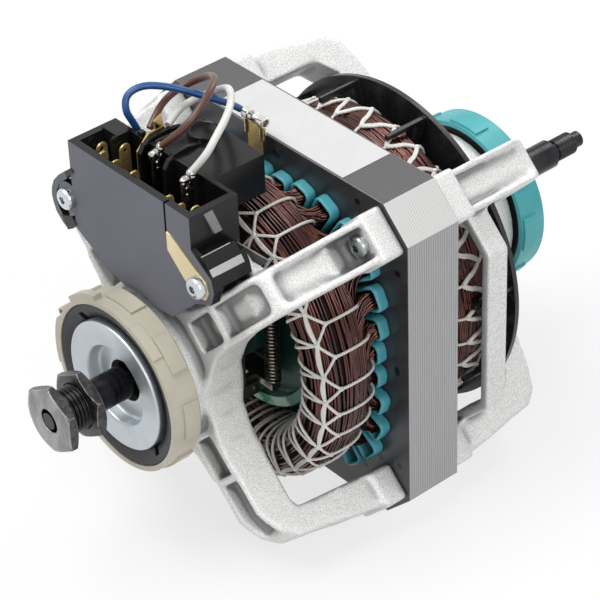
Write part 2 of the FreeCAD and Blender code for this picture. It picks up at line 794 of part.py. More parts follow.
def rubber_ring(name, face, sign):
    inner = "nose_radius + seat_clearance"
    outer = "nose_radius + rubber_wall"
    near = f"{sign} * ({face} - 0.6)"
    far = f"{sign} * ({face} - mount_length + 0.4)"
    corners = [(inner, near), (outer, near), (outer, far), (inner, far)]
    keep(turned(name, corners), name)


def mount_ring(name, face, sign):
    """Plastic ring round the rubber, with a shoulder and raised lugs."""
    inner = "nose_radius + rubber_wall + seat_clearance"
    base = "nose_radius + rubber_wall + mount_wall"
    corners = [(inner, f"{sign} * {face}"), (base, f"{sign} * {face}"),
               (base, f"{sign} * ({face} - mount_length)"), (inner, f"{sign} * ({face} - mount_length)")]
    body = turned(name, corners)
    near = f"{sign} * ({face} - 4.5)"
    far = f"{sign} * ({face} - mount_length + 0.8)"
    lug_corners = [(f"{base} - 1", near), (f"{base} + lug_rise", near), (f"{base} + lug_rise", far),
                   (f"{base} - 1", far)]
    lug_outline = outline(body, name + "_lug_outline", "XY_Plane", lug_corners)
    lug = body.newObject("PartDesign::Revolution", name + "_lug")
    lug.Profile = lug_outline
    lug.ReferenceAxis = (lug_outline, ["V_Axis"])
    lug.Angle = 24
    lug.Midplane = True
    pattern = body.newObject("PartDesign::PolarPattern", name + "_lugs")
    pattern.Originals = [lug]
    pattern.Axis = (origin_plane(body, "Y_Axis"), [""])
    pattern.Angle = 360
    pattern.Occurrences = LUG_COUNT
    body.Tip = pattern
    keep(body, name)


def bearing(name, face, sign):
    corners = [("shaft_radius + running_clearance", f"{sign} * {face}"), ("bush_radius", f"{sign} * {face}"),
               ("bush_radius", f"{sign} * ({face} - bush_length)"),
               ("shaft_radius + running_clearance", f"{sign} * ({face} - bush_length)")]
    keep(turned(name, corners), name)


def felt(name, face, nose, sign):
    """Oil felt in front of the bush, in the nose's counterbore."""
    inner = "shaft_radius + 0.6"
    start = f"{sign} * ({face} + 0.2)"
    end = f"{sign} * ({nose} - cap_bowl_depth - 0.2)"
    corners = [(inner, start), ("felt_radius", start), ("felt_radius", end), (inner, end)]
    keep(turned(name, corners), name)


def dust_cap(name, nose, sign):
    """Pressed disc with a turned rim and a bowl that clears the shaft."""
    def at(text):
        return f"{sign} * ({text})"
    top = f"{nose} + cap_gauge + 0.1"
    low = f"{nose} + 0.1"
    bowl_top = f"{nose} + cap_gauge + 0.1 - cap_bowl_depth"
    bowl_low = f"{nose} + 0.1 - cap_bowl_depth"
    corners = [("cap_hole", at(bowl_top)), ("cap_bowl - 2.4", at(bowl_top)), ("cap_bowl", at(top)),
               ("cap_rim - 0.8", at(top)), ("cap_rim", at(f"{top} - 0.5")),
               ("cap_rim", at(low)), ("cap_bowl - cap_gauge * 0.6", at(low)),
               ("cap_bowl - 2.4 - cap_gauge * 0.6", at(bowl_low)), ("cap_hole", at(bowl_low))]
    keep(turned(name, corners), name)


def thrust_washer(name, shoulder, sign):
    inner = "shaft_radius + seat_clearance"
    start = f"{sign} * ({shoulder} + 0.02)"
    end = f"{sign} * ({shoulder} + 0.02 + washer_gauge)"
    corners = [(inner, start), ("washer_radius", start), ("washer_radius", end), (inner, end)]
    keep(turned(name, corners), name)


# Rotor

def rotor_shaft():
    tail = "tail_end"
    thread_start = f"{tail} + relief_length"
    thread_end = f"{thread_start} + tail_thread_length"
    pilot_end = f"{thread_end} + pilot_length"
    corners = [("0", "-(stub_front + spigot_length)"), ("spigot_radius", "-(stub_front + spigot_length)"),
               ("spigot_radius", "-stub_front"), ("shaft_radius", "-stub_front"),
               ("shaft_radius", "-shoulder_front"), ("shaft_mid_radius", "-shoulder_front"),
               ("shaft_mid_radius", "shoulder_rear"), ("shaft_radius", "shoulder_rear"),
               ("shaft_radius", "tail_start"), ("shaft_tail_radius", "tail_start"),
               ("shaft_tail_radius", f"{tail} - 0.8"), ("shaft_tail_radius - 0.8", tail),
               ("relief_radius", tail), ("relief_radius", thread_start),
               ("tail_thread_radius", f"{thread_start} + 0.5"),
               ("tail_thread_radius", f"{thread_end} - 0.6"), ("tail_thread_radius - 0.6", thread_end),
               ("pilot_radius", thread_end),
               ("pilot_radius", f"{pilot_end} - 0.5"), ("pilot_radius - 0.5", pilot_end), ("0", pilot_end)]
    body = turned("shaft_body", corners)
    hole = doc.addObject("Part::Cylinder", "shaft_cross_hole")
    hole.setExpression("Radius", bound("cross_hole_radius"))
    hole.setExpression("Height", bound("4 * shaft_radius"))
    hole.Placement = Placement(Vector(0, 0, 0), Rotation(Vector(0, 1, 0), CROSS_HOLE_TURN))
    half = "-2 * shaft_radius"
    hole.setExpression("Placement.Base.x", bound(f"{half} * sin({CROSS_HOLE_TURN})"))
    hole.setExpression("Placement.Base.y", bound("-cross_hole_place"))
    hole.setExpression("Placement.Base.z", bound(f"{half} * cos({CROSS_HOLE_TURN})"))
    keep(cut_from("rotor_shaft", body, [hole]), "rotor_shaft")


def threaded_stub():
    corners = [("shaft_radius + seat_clearance", "-stub_front"), ("stub_radius", "-stub_front"),
               ("stub_radius", "-(stub_front - stub_length)"),
               ("shaft_radius + seat_clearance", "-(stub_front - stub_length)")]
    keep(turned("threaded_stub", corners), "threaded_stub")


def hex_nut(name, front, back, hole_radius):
    """Hexagon with its flats' corners taken off by a cone at the front."""
    nut = doc.addObject("Part::Prism", name + "_hexagon")
    nut.Polygon = 6
    nut.Placement = Placement(Vector(0, 0, 0), Rotation(Vector(1, 0, 0), -90))
    nut.setExpression("Circumradius", bound("nut_across_flats / sqrt(3)"))
    nut.setExpression("Height", bound(f"({back}) - ({front})"))
    nut.setExpression("Placement.Base.y", bound(front))
    hole = drum(name + "_hole", hole_radius, f"{front} - 1", f"{back} + 1")
    keep(cut_from(name, nut, [hole]), name)


def rotor_core():
    inner = "shaft_mid_radius + seat_clearance"
    outer = "bore_radius - air_gap"
    corners = [(inner, "-stack_depth / 2"), (outer, "-stack_depth / 2"), (outer, "stack_depth / 2"),
               (inner, "stack_depth / 2")]
    keep(turned("rotor_core", corners), "rotor_core")


def rotor_end_rings():
    """Cast rings that close the rotor's bars at both faces."""
    outer = "bore_radius - air_gap - 1"
    inner = "bore_radius - air_gap - end_ring_wall"
    rings = []
    for name, sign in (("front", -1), ("rear", 1)):
        near = f"{sign} * (stack_depth / 2)"
        far = f"{sign} * (stack_depth / 2 + end_ring_depth)"
        corners = [(inner, near), (outer, near), (outer, far), (inner, far)]
        rings.append(turned(f"{name}_end_ring", corners))
    keep(grouped("rotor_end_rings", rings), "rotor_end_rings")


def cooling_fan():
    """Disc with straight paddles that reach forward outside the winding."""
    front = "fan_disc_place"
    back = "fan_disc_place + fan_disc_gauge"
    bore = "shaft_mid_radius + seat_clearance"
    hub_front = "fan_disc_place - 3"
    hub_back = "fan_disc_place - 3 + fan_hub_length"
    corners = [(bore, hub_front), ("fan_hub_radius", hub_front), ("fan_hub_radius", front),
               ("fan_radius", front), ("fan_radius", back), ("fan_hub_radius + 2", back),
               ("fan_hub_radius", hub_back), (bore, hub_back)]
    body = turned("cooling_fan", corners)
    blade_corners = [("fan_hub_radius - 1", f"{front} - blade_root_length"),
                     ("fan_radius - blade_inset - blade_tip_width", f"{front} - blade_root_length"),
                     ("fan_radius - blade_inset - blade_tip_width", f"{front} - blade_tip_length"),
                     ("fan_radius - blade_inset", f"{front} - blade_tip_length"),
                     ("fan_radius - blade_inset", f"{front} + 0.5"),
                     ("fan_hub_radius - 1", f"{front} + 0.5")]
    blade_outline = outline(body, "blade_outline", "XY_Plane", blade_corners)
    blade = body.newObject("PartDesign::Pad", "blade")
    blade.Profile = blade_outline
    blade.Midplane = True
    blade.setExpression("Length", bound("blade_gauge"))
    pattern = body.newObject("PartDesign::PolarPattern", "blades")
    pattern.Originals = [blade]
    pattern.Axis = (origin_plane(body, "Y_Axis"), [""])
    pattern.Angle = 360
    pattern.Occurrences = BLADE_COUNT
    body.Tip = pattern
    body.Placement = Placement(Vector(0, 0, 0), Rotation(Vector(0, 1, 0), BLADE_TURN))
    keep(body, "cooling_fan")


# Governor: weights that swing out and pull the collar back from the switch

def governor_base():
    half = "governor_half_width"
    plate = block("governor_plate", (f"-{half}", half),
                  ("-governor_place", "-(governor_place - governor_gauge)"),
                  ("-(pivot_height + 2.5)", "pivot_height + 2.5"))
    sleeve = drum("governor_sleeve", "shaft_mid_radius + 3.5", "-(governor_place + 3)",
                  "-(governor_place - governor_gauge)")
    solids = [plate, sleeve]
    for level, up in (("upper", 1), ("lower", -1)):
        for side, across in (("left", -1), ("right", 1)):
            x_span = [f"{across} * (governor_half_width - 2)", f"{across} * governor_half_width"]
            z_span = [f"{up} * (pivot_height - 3)", f"{up} * (pivot_height + 2.5)"]
            if across < 0:
                x_span.reverse()
            if up < 0:
                z_span.reverse()
            solids.append(block(f"governor_ear_{level}_{side}", x_span,
                                ("-governor_place", "-(pivot_place - 2.5)"), z_span))
    cutters = [drum("governor_bore", "shaft_mid_radius + seat_clearance", "-(governor_place + 5)",
                    "-(governor_place - 5)")]
    for level, up in (("upper", 1), ("lower", -1)):
        cutters.append(cross_pin(f"governor_ear_hole_{level}", "pivot_radius", f"-{half} - 1", f"{half} + 1",
                                 "-pivot_place", f"{up} * pivot_height"))
    keep(cut_from("governor_base", joined("governor_base_solid", solids), cutters), "governor_base")


def governor_pins():
    half = "governor_half_width"
    pins = [cross_pin(f"{level}_pivot_pin", "pivot_radius", f"-{half} - 0.6", f"{half} + 0.6",
                      "-pivot_place", f"{up} * pivot_height") for level, up in (("upper", 1), ("lower", -1))]
    keep(grouped("governor_pins", pins), "governor_pins")


def governor_weight(name, up):
    """Weight with two lugs on its pivot pin, a finger to the collar and an ear for each spring."""
    def span(low, high):
        pair = [f"{up} * ({low})", f"{up} * ({high})"]
        return pair if up > 0 else pair[::-1]
    half = "weight_half_width"
    solids = [block(f"{name}_mass", (f"-{half}", half), ("-weight_front", "-weight_rear"),
                    span("weight_inner", "weight_outer"))]
    for side, across in (("left", -1), ("right", 1)):
        lug = [f"{across} * (weight_half_width - 2.5)", f"{across} * weight_half_width"]
        ear = [f"{across} * (weight_half_width - 1)", f"{across} * (spring_place + 1.6)"]
        if across < 0:
            lug.reverse()
            ear.reverse()
        solids.append(block(f"{name}_lug_{side}", lug, ("-(pivot_place + 2.4)", "-(weight_front - 1)"),
                            span("pivot_height - 2", "pivot_height + 2.4")))
        solids.append(block(f"{name}_ear_{side}", ear, ("-(weight_front - 1)", "-(weight_rear + 4)"),
                            span("weight_inner", "weight_inner + 3")))
    solids.append(block(f"{name}_finger", ("-3", "3"),
                        ("-(collar_sleeve_front + 3)", "-(collar_sleeve_front + 0.3)"),
                        span("shaft_mid_radius + 1.2", "weight_inner + 3")))
    hole = cross_pin(f"{name}_pivot_hole", "pivot_radius + pivot_clearance", f"-{half} - 1", f"{half} + 1",
                     "-pivot_place", f"{up} * pivot_height")
    keep(cut_from(name, joined(f"{name}_solid", solids), [hole]), name)


def governor_springs():
    """Two tension springs between the weights' ears, each one helix of half turns."""
    reach = size("weight_inner") - 0.5
    along = -(size("weight_front") + size("weight_rear") + 3) / 2
    solids = []
    for across in (-1, 1):
        centre = Vector(across * size("spring_place"), along, 0)
        solids.append(helix_tube(centre, size("spring_radius"), 2 * reach, SPRING_COILS,
                                 size("spring_wire")))
    made("governor_springs", Part.makeCompound(solids))


def helix_tube(centre, radius, length, coils, wire):
    """A helix along Z built from tilted half circles."""
    count = 2 * coils
    stops = []
    for index in range(count + 1):
        side = 1 if index % 2 == 0 else -1
        stops.append(centre + Vector(0, side * radius, -length / 2 + length * index / count))
    arcs = []
    for index in range(count):
        middle = (stops[index] + stops[index + 1]) / 2
        rise = (stops[index + 1] - stops[index]).Length / 2
        swing = Vector(rise if index % 2 == 0 else -rise, 0, 0)
        arcs.append(Part.Arc(stops[index], middle + swing, stops[index + 1]).toShape())
    path = Part.Wire(arcs)
    section = Part.Wire(Part.Circle(stops[0], Vector(1, 0, 0), wire).toShape())
    return path.makePipeShell([section], True, False)


def governor_collar():
    """Green dish that slides on the shaft and presses the switch lever with its rim."""
    face = "-collar_face"
    back = "-(collar_face - collar_rim_depth)"
    web_front = "-(collar_face - collar_rim_depth + collar_web)"
    bore = "shaft_mid_radius + collar_clearance"
    corners = [(bore, "-collar_sleeve_front"), ("collar_sleeve_radius", "-collar_sleeve_front"),
               ("collar_sleeve_radius", web_front), ("collar_rim_radius - collar_rim_wall", web_front),
               ("collar_rim_radius - collar_rim_wall", face), ("collar_rim_radius", face),
               ("collar_rim_radius", back), (bore, back)]
    keep(turned("governor_collar", corners), "governor_collar")


# Start switch and its leads

# Left and right wall of each well
WELLS = {
    "a": ("-switch_left + well_wall", "-divider_left - divider_gauge / 2"),
    "b": ("-divider_left + divider_gauge / 2", "-divider_right - divider_gauge / 2"),
    "c": ("-divider_right + divider_gauge / 2", "switch_right - well_wall"),
}


def switch_plate():
    """Front plate: the housing's front with slanted lower edges and a round lobe at the right screw."""
    body = doc.addObject("PartDesign::Body", "switch_plate")
    lowest = "switch_floor - plate_drop"
    lobe = "switch_screw_x + lobe_reach"
    corners = [("-switch_left", "switch_top"), ("-switch_left", "switch_floor - 1"),
               ("-switch_left + 19", f"{lowest} + 3"), ("-divider_right - 1.5", lowest),
               ("switch_right - 13", f"{lowest} + 2"), ("switch_right + 1", "switch_screw_z - 9.5"),
               (f"{lobe} - 2", "switch_screw_z - 6"), (lobe, "switch_screw_z"),
               (f"{lobe} - 1", "switch_screw_z + 5"), ("switch_right", "switch_top - 13"),
               ("switch_right", "switch_top")]
    plate_outline = outline(body, "switch_plate_outline", "XZ_Plane", corners, shift="switch_face")
    pad = body.newObject("PartDesign::Pad", "switch_plate_pad")
    pad.Profile = plate_outline
    pad.Reversed = True
    pad.setExpression("Length", bound("plate_gauge"))
    return body


def switch_lobe():
    """Deep moulded boss round the right screw, cut off where the frame's arm passes."""
    body = doc.addObject("PartDesign::Body", "switch_lobe")
    corners = [("switch_right - 2", "switch_top - 12"), ("switch_screw_x + 2.5", "switch_screw_z + 9"),
               ("switch_screw_x + lobe_reach - 1.6", "switch_screw_z + 5"),
               ("switch_screw_x + lobe_reach - 0.6", "switch_screw_z + 0.6"),
               ("switch_right + 2.5", "switch_floor + 1"), ("switch_right - 2", "switch_floor + 1")]
    lobe_outline = outline(body, "switch_lobe_outline", "XZ_Plane", corners, shift="switch_face - 1")
    pad = body.newObject("PartDesign::Pad", "switch_lobe_pad")
    pad.Profile = lobe_outline
    pad.Reversed = True
    pad.setExpression("Length", bound("lobe_depth - 1"))
    return body


def switch_housing():
    """Moulded box behind the plate, open at the top in three wells, with an ear and a lobe."""
    front = "-switch_face"
    plate_back = "-(switch_face - plate_gauge)"
    solids = [switch_plate(), switch_lobe(),
              block("switch_box", ("-switch_left", "switch_right"), (front, "-switch_back"),
                    ("switch_floor", "switch_top")),
              drum("switch_ear", "ear_radius", front, plate_back, across="-switch_screw_x",
                   up="switch_screw_z")]
    cutters = [drum("switch_hub_room", "hub_radius + 1", "-(switch_face + 1)", "-(switch_back)")]
    for name, side in (("left", -1), ("right", 1)):
        cutters.append(drum(f"switch_screw_hole_{name}", "screw_radius + 0.3", "-(switch_face + 1)",
                            "-(switch_face - lobe_depth - 1)", across=f"{side} * switch_screw_x",
                            up="switch_screw_z"))
    cutters.append(block("switch_trough", (WELLS["a"][0], WELLS["c"][1]),
                         ("-(switch_face - well_wall)", "-(switch_face - well_wall - trough_width)"),
                         ("switch_top - trough_depth", "switch_top + 1")))
    cutters.append(block("switch_slit", ("slit_place - slit_width / 2", "slit_place + slit_width / 2"),
                         ("-(switch_face + 1)", "-(switch_face - well_wall + 0.6)"),
                         ("switch_top - trough_depth - 1", "switch_top + 1")))
    for name, walls in WELLS.items():
        cutters.append(block(f"switch_well_{name}", walls,
                             ("-(switch_face - well_wall)", "-(switch_back + well_back)"),
                             ("switch_top - well_depth", "switch_top + 1")))
    keep(cut_from("switch_housing", joined("switch_solid", solids), cutters), "switch_housing")


def switch_rear_housing():
    """Rear block of the switch with two cheeks that carry the lever's pin."""
    near = "-(switch_back - 0.02)"
    solids = [block("rear_block", ("-rear_block_left", "rear_block_right"), (near, "-rear_block_back"),
                    ("rear_block_floor", "switch_top")),
              block("rear_ledge", ("-ledge_left", "-rear_block_left + 1"),
                    (near, "-(switch_back - ledge_depth)"), ("rear_block_floor", "ledge_top"))]
    for side, across in (("left", -1), ("right", 1)):
        x_span = [f"{across} * (lever_half_width + lever_clearance)", f"{across} * (lever_half_width + 3)"]
        if across < 0:
            x_span.reverse()
        solids.append(block(f"lever_cheek_{side}", x_span, (near, "-(lever_pin_y - 4)"),
                            ("lever_pin_z - 4", "rear_block_floor + 1")))
    solids.append(block("lever_bridge", ("-bridge_half_width", "bridge_half_width"),
                        (near, "-(lever_pin_y - 5)"), ("lever_pin_z + 3.6", "rear_block_floor + 1")))
    room = "lever_half_width + lever_clearance"
    cutters = [cross_pin("lever_pin_hole", "lever_pin_radius", "-20", "20", "-lever_pin_y", "lever_pin_z"),
               block("lever_room", (f"-({room})", room), ("-(lever_pin_y + 4)", "-(lever_pin_y - 6)"),
                     ("lever_pin_z - 5", "lever_pin_z + 3.6"))]
    keep(cut_from("switch_rear_housing", joined("rear_block_solid", solids), cutters), "switch_rear_housing")


def switch_lever():
    """Lever that hangs from its pin and reaches back to the collar's rim."""
    half = "lever_half_width"
    pad_face = "-(collar_face + lever_clearance)"
    low = "collar_rim_radius - 3.5"
    front = "-(lever_pin_y + lever_gauge / 2)"
    back = "-(lever_pin_y - lever_gauge / 2)"
    solids = [block("lever_arm", (f"-{half}", half), ("-(lever_pin_y - 0.5 + lever_gauge)", pad_face),
                    (low, f"{low} + lever_gauge")),
              block("lever_upright", (f"-{half}", half), (front, back), (low, "lever_pin_z")),
              cross_pin("lever_eye", "lever_pin_radius + 1.8", f"-{half}", half, "-lever_pin_y",
                        "lever_pin_z")]
    hole = cross_pin("lever_eye_hole", "lever_pin_radius + pivot_clearance", f"-{half} - 1", f"{half} + 1",
                     "-lever_pin_y", "lever_pin_z")
    keep(cut_from("switch_lever", joined("lever_solid", solids), [hole]), "switch_lever")


def switch_lever_pin():
    reach = "lever_half_width + 3"
    pin = cross_pin("switch_lever_pin", "lever_pin_radius", f"-({reach})", reach, "-lever_pin_y",
                    "lever_pin_z")
    keep(pin, "switch_lever_pin")


# Tabs: their well, and how far right of its wall, behind the plate's face and below the top they stand
TERMINALS = [("a", 2.5, 10.5, 3.0), ("a", 9.5, 15.5, 2.5), ("a", 7.0, 5.9, 9.0), ("a", 14.0, 5.9, 8.0),
             ("b", 7.9, 16.9, 0.0), ("c", 12.8, 14.9, 1.4), ("c", 5.0, 5.9, 8.0), ("c", 21.0, 5.9, 7.0),
             ("c", 26.0, 8.5, 6.0)]
# Tabs on the ledge: how far left of the rear block and behind the box they stand
REAR_TABS = [(6.8, 3.2), (3.2, 8.8)]


def around(place, half):
    """The two ends of a span with its middle at a place."""
    return f"{place} - {half}", f"{place} + {half}"


def terminal_place(row):
    """Place across, place along and top of one tab."""
    well, right, behind, below = row
    return f"({WELLS[well][0]} + {right})", f"-(switch_face - {behind})", f"(switch_top - {below})"


def switch_terminals():
    """Brass tabs that stand in the wells, and two at the back for the winding's leads."""
    tabs = []
    for index, row in enumerate(TERMINALS):
        across, along, top = terminal_place(row)
        tabs.append(block(f"terminal_{index}", around(across, "terminal_gauge / 2"),
                          around(along, "terminal_width / 2"), ("switch_top - well_depth", top)))
    for index, (left, behind) in enumerate(REAR_TABS):
        across = f"-(rear_block_left + {left})"
        along = f"-(switch_back - {behind})"
        tabs.append(block(f"rear_terminal_{index}", around(across, "2"), around(along, "terminal_gauge / 2"),
                          ("ledge_top", "ledge_top + 4.3")))
    keep(grouped("switch_terminals", tabs), "switch_terminals")


def switch_screws():
    screws = []
    seats = {"left": "switch_face", "right": "switch_face + terminal_gauge"}
    for name, side in (("left", -1), ("right", 1)):
        across = f"{side} * switch_screw_x"
        seat = seats[name]
        head = drum(f"switch_screw_head_{name}", "screw_head_radius", f"-({seat} + screw_head_height)",
                    f"-({seat})", across=across, up="switch_screw_z")
        shank = drum(f"switch_screw_shank_{name}", "screw_radius", f"-({seat})",
                     "-(front_inside + 1.5)", across=across, up="switch_screw_z")
        screws.append(joined(f"switch_screw_{name}", [head, shank]))
    keep(grouped("switch_screws", screws), "switch_screws")


def ground_strap():
    """Brass strap from the slit in the plate down to the right screw."""
    body = doc.addObject("PartDesign::Body", "strap_body")
    round_screw = [(-1.2, 5.2), (3.6, 3), (4.8, -1), (3.2, -4.4), (-0.5, -5.4), (-4.6, -4), (-8.5, -1)]
    corners = [("slit_place + 1.1", "switch_top - 11"), ("slit_place + 2.9", "switch_top - 11.6")]
    corners += [(f"switch_screw_x + {right}", f"switch_screw_z + {up}") for right, up in round_screw]
    corners.append(("slit_place + 1.1", "switch_top - 18.6"))
    strap_outline = outline(body, "strap_outline", "XZ_Plane", corners, shift="switch_face + terminal_gauge")
    pad = body.newObject("PartDesign::Pad", "strap_pad")
    pad.Profile = strap_outline
    pad.Reversed = True
    pad.setExpression("Length", bound("terminal_gauge"))
    hole = drum("strap_hole", "screw_radius + 0.3", "-(switch_face + 3)", "-(switch_face - 1)",
                across="switch_screw_x", up="switch_screw_z")
    keep(cut_from("ground_strap", body, [hole]), "ground_strap")


def solder_joints():
    """Blobs that hold the brown and white leads on their tabs."""
    blobs = []
    for index, row in enumerate(TERMINALS[4:6]):
        across, along, top = terminal_place(row)
        blobs.append(block(f"solder_{index}", around(across, "solder_half_width"), around(along, "2"),
                           (top, f"{top} + solder_height")))
    keep(grouped("solder_joints", blobs), "solder_joints")


def protector_tab():
    """Blade that stands on the front winding at the top of the stack."""
    tab = block("protector_tab", ("-blade_left", "-blade_right"),
                ("-blade_place", "-blade_place + terminal_gauge"), ("blade_foot", "blade_top"))
    keep(tab, "protector_tab")


def flag_terminal():
    """Crimped barrel on the blade, with the blue lead in its end."""
    middle = "-blade_place + terminal_gauge / 2"
    barrel = cross_pin("flag_barrel", "lead_radius + flag_wall", "-(blade_left + 1.4)",
                       "-(blade_right - 2.5)", middle, "blade_top + 3")
    saddle = block("flag_saddle", ("-(blade_left + 0.5)", "-(blade_right - 0.5)"), around(middle, "1.6"),
                   ("blade_top - 3", "blade_top + 2"))
    slot = block("flag_slot", ("-(blade_left + 0.2)", "-(blade_right - 0.2)"),
                 ("-blade_place", "-blade_place + terminal_gauge"), ("blade_top - 4", "blade_top"))
    keep(cut_from("flag_terminal", joined("flag_solid", [barrel, saddle]), [slot]), "flag_terminal")


LEAD_ROUTES = {
    "lead_blue": [(-26.6, -53.4, 79.4), (-26.4, -55.8, 84.8), (-27.4, -58.0, 90.0), (-29.2, -55.8, 94.9),
                  (-27.6, -49.4, 96.8), (-22.6, -42.2, 95.4), (-16.8, -35.4, 92.4), (-12.8, -29.4, 89.2),
                  (-12.0, -23.8, 85.2), (-13.4, -19.6, 81.6), (-14.2, -16.5, 78.7)],
    "lead_brown": [(-5.6, -61.6, 86.6), (-2.8, -60.2, 89.8), (0.8, -56.3, 92.9), (2.1, -51.0, 96.5),
                   (0.8, -45.0, 99.5), (-2.0, -38.8, 101.5), (-7.1, -32.4, 101.5), (-14.5, -29.0, 98.0),
                   (-21.6, -30.8, 93.4), (-25.2, -37.0, 90.2), (-24.0, -44.0, 88.6), (-21.0, -49.8, 86.8),
                   (-19.4, -53.6, 84.2)],
    "lead_white": [(13.3, -63.6, 85.4), (15.4, -60.9, 88.6), (16.2, -56.5, 92.0), (15.2, -51.0, 95.5),
                   (12.7, -44.6, 98.5), (8.2, -38.5, 99.5), (2.4, -33.2, 99.0), (-4.6, -28.6, 96.8),
                   (-11.2, -26.0, 92.8), (-17.3, -26.8, 88.8), (-20.8, -31.2, 86.4), (-20.6, -37.4, 86.0),
                   (-18.2, -43.0, 86.0), (-15.8, -48.2, 84.8)],
}


def lead(name, points):
    """Round tube on straight runs joined by tangent arcs, each as large as its runs allow."""
    stops = [Vector(*point) for point in points]
    edges = []
    last = stops[0]
    radii = []
    for before, corner, after in zip(stops, stops[1:], stops[2:]):
        back = before - corner
        ahead = after - corner
        half_turn_angle = (math.pi - back.getAngle(ahead)) / 2
        setback = 0.45 * min(back.Length, ahead.Length)
        radii.append(setback / math.tan(half_turn_angle))
        back.normalize()
        ahead.normalize()
        begin = corner + back * setback
        end = corner + ahead * setback
        inward = back + ahead
        inward.normalize()
        reach = radii[-1] / math.cos(half_turn_angle) - radii[-1]
        edges.append(Part.LineSegment(last, begin).toShape())
        edges.append(Part.Arc(begin, corner + inward * reach, end).toShape())
        last = end
    edges.append(Part.LineSegment(last, stops[-1]).toShape())
    path = Part.Wire(edges)
    direction = stops[1] - stops[0]
    section = Part.Wire(Part.Circle(stops[0], direction, size("lead_radius")).toShape())
    tube = path.makePipeShell([section], True, False)
    expected = math.pi * size("lead_radius") ** 2 * path.Length
    print(f"{name}: length {path.Length:.1f}, least radius {min(radii):.1f}, "
          f"volume {tube.Volume:.1f} against {expected:.1f}, radii",
          [round(radius, 1) for radius in radii])
    made(name, tube)


def rating_label():
    """Bare paper label, slightly askew across the top of the stack."""
    body = doc.addObject("PartDesign::Body", "label_body")
    half = "stack_depth / 2 - label_margin"
    corners = [("-label_left", f"-({half})"), ("label_right", f"-({half})"), ("label_right", half),
               ("-label_left", half)]
    label_outline = outline(body, "label_outline", "XY_Plane", corners, shift="core_half")
    pad = body.newObject("PartDesign::Pad", "label_pad")
    pad.Profile = label_outline
    pad.setExpression("Length", "Sizes.label_gauge")
    keep(body, "rating_label")


stator_core()
slot_liners()
coil_sides()
for end, pitch, direction in (("front", "front_layer_pitch", -1), ("rear", "rear_layer_pitch", 1)):
    end_winding(f"{end}_end_winding", size(pitch), direction)
    lacing(f"{end}_lacing", size(pitch), direction)
front_end_frame()
rear_end_frame()
frame_bolts()
for end, sign in (("front", -1), ("rear", 1)):
    rubber_ring(f"{end}_rubber_ring", f"{end}_mount_face", sign)
    mount_ring(f"{end}_mount_ring", f"{end}_mount_face", sign)
    bearing(f"{end}_bearing", f"{end}_bush_face", sign)
    felt(f"{end}_felt", f"{end}_bush_face", f"{end}_nose", sign)
    dust_cap(f"{end}_dust_cap", f"{end}_nose", sign)
    thrust_washer(f"{end}_thrust_washer", f"shoulder_{end}", sign)
rotor_shaft()
threaded_stub()
hex_nut("outer_nut", "-(stub_front + outer_nut_depth)", "-stub_front", "outer_nut_hole")
hex_nut("jam_nut", "-(stub_front - stub_length + jam_nut_depth)", "-(stub_front - stub_length)",
        "stub_radius")
rotor_core()
rotor_end_rings()
cooling_fan()
governor_base()
governor_pins()
governor_weight("upper_weight", 1)
governor_weight("lower_weight", -1)
governor_springs()
governor_collar()
switch_housing()
switch_rear_housing()
switch_lever()
switch_lever_pin()
switch_terminals()
switch_screws()
ground_strap()
solder_joints()
protector_tab()
flag_terminal()
for lead_name, route in LEAD_ROUTES.items():
    lead(lead_name, route)
rating_label()

doc.recompute()
broken = [item.Label for item in doc.Objects if "Invalid" in item.State or "Error" in item.State]
if broken:
    raise RuntimeError("objects that failed: " + ", ".join(broken))
os.makedirs("parts", exist_ok=True)
for item in pieces:
    if item.Shape.isNull() or not item.Shape.isValid() or not item.Shape.Solids:
        raise RuntimeError("shape of " + item.Label + " isn't a valid solid")
for item in pieces:
    item.Shape.exportStep(f"parts/{item.Label}.step")
print(len(pieces), "pieces written")
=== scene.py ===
import bpy
import bmesh
import math
import numpy as np
from mathutils import Matrix, Vector


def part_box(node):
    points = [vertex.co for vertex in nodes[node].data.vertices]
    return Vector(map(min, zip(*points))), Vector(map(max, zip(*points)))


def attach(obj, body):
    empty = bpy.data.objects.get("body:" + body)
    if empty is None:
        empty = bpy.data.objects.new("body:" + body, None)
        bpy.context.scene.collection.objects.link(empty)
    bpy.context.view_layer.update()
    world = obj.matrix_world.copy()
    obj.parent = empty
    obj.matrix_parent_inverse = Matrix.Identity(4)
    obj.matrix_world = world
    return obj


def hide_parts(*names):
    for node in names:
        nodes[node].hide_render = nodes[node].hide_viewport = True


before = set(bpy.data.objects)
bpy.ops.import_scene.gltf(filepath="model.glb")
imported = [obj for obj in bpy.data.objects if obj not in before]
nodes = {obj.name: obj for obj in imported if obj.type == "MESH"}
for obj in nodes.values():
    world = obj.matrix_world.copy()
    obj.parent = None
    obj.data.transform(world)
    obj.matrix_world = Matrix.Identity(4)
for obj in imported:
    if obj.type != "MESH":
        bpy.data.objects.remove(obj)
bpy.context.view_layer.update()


# Camera.
# A long lens, about a metre away, looks down on the belt end and the right-hand side.
def aim(turn, height, roll, distance, aside, raised):
    """Camera matrix: axes right, up and back, at distance along back, moved aside and raised."""
    back = Vector((math.sin(turn) * math.cos(height), -math.cos(turn) * math.cos(height), math.sin(height)))
    level = Vector((math.cos(turn), math.sin(turn), 0.0))
    upright = back.cross(level)
    right = math.cos(roll) * level + math.sin(roll) * upright
    up = math.cos(roll) * upright - math.sin(roll) * level
    place = back * distance + level * aside + upright * raised
    return Matrix.Translation(place) @ Matrix((right, up, back)).transposed().to_4x4()


def placed(name, data):
    """A new object in the scene."""
    piece = bpy.data.objects.new(name, data)
    bpy.context.scene.collection.objects.link(piece)
    return piece


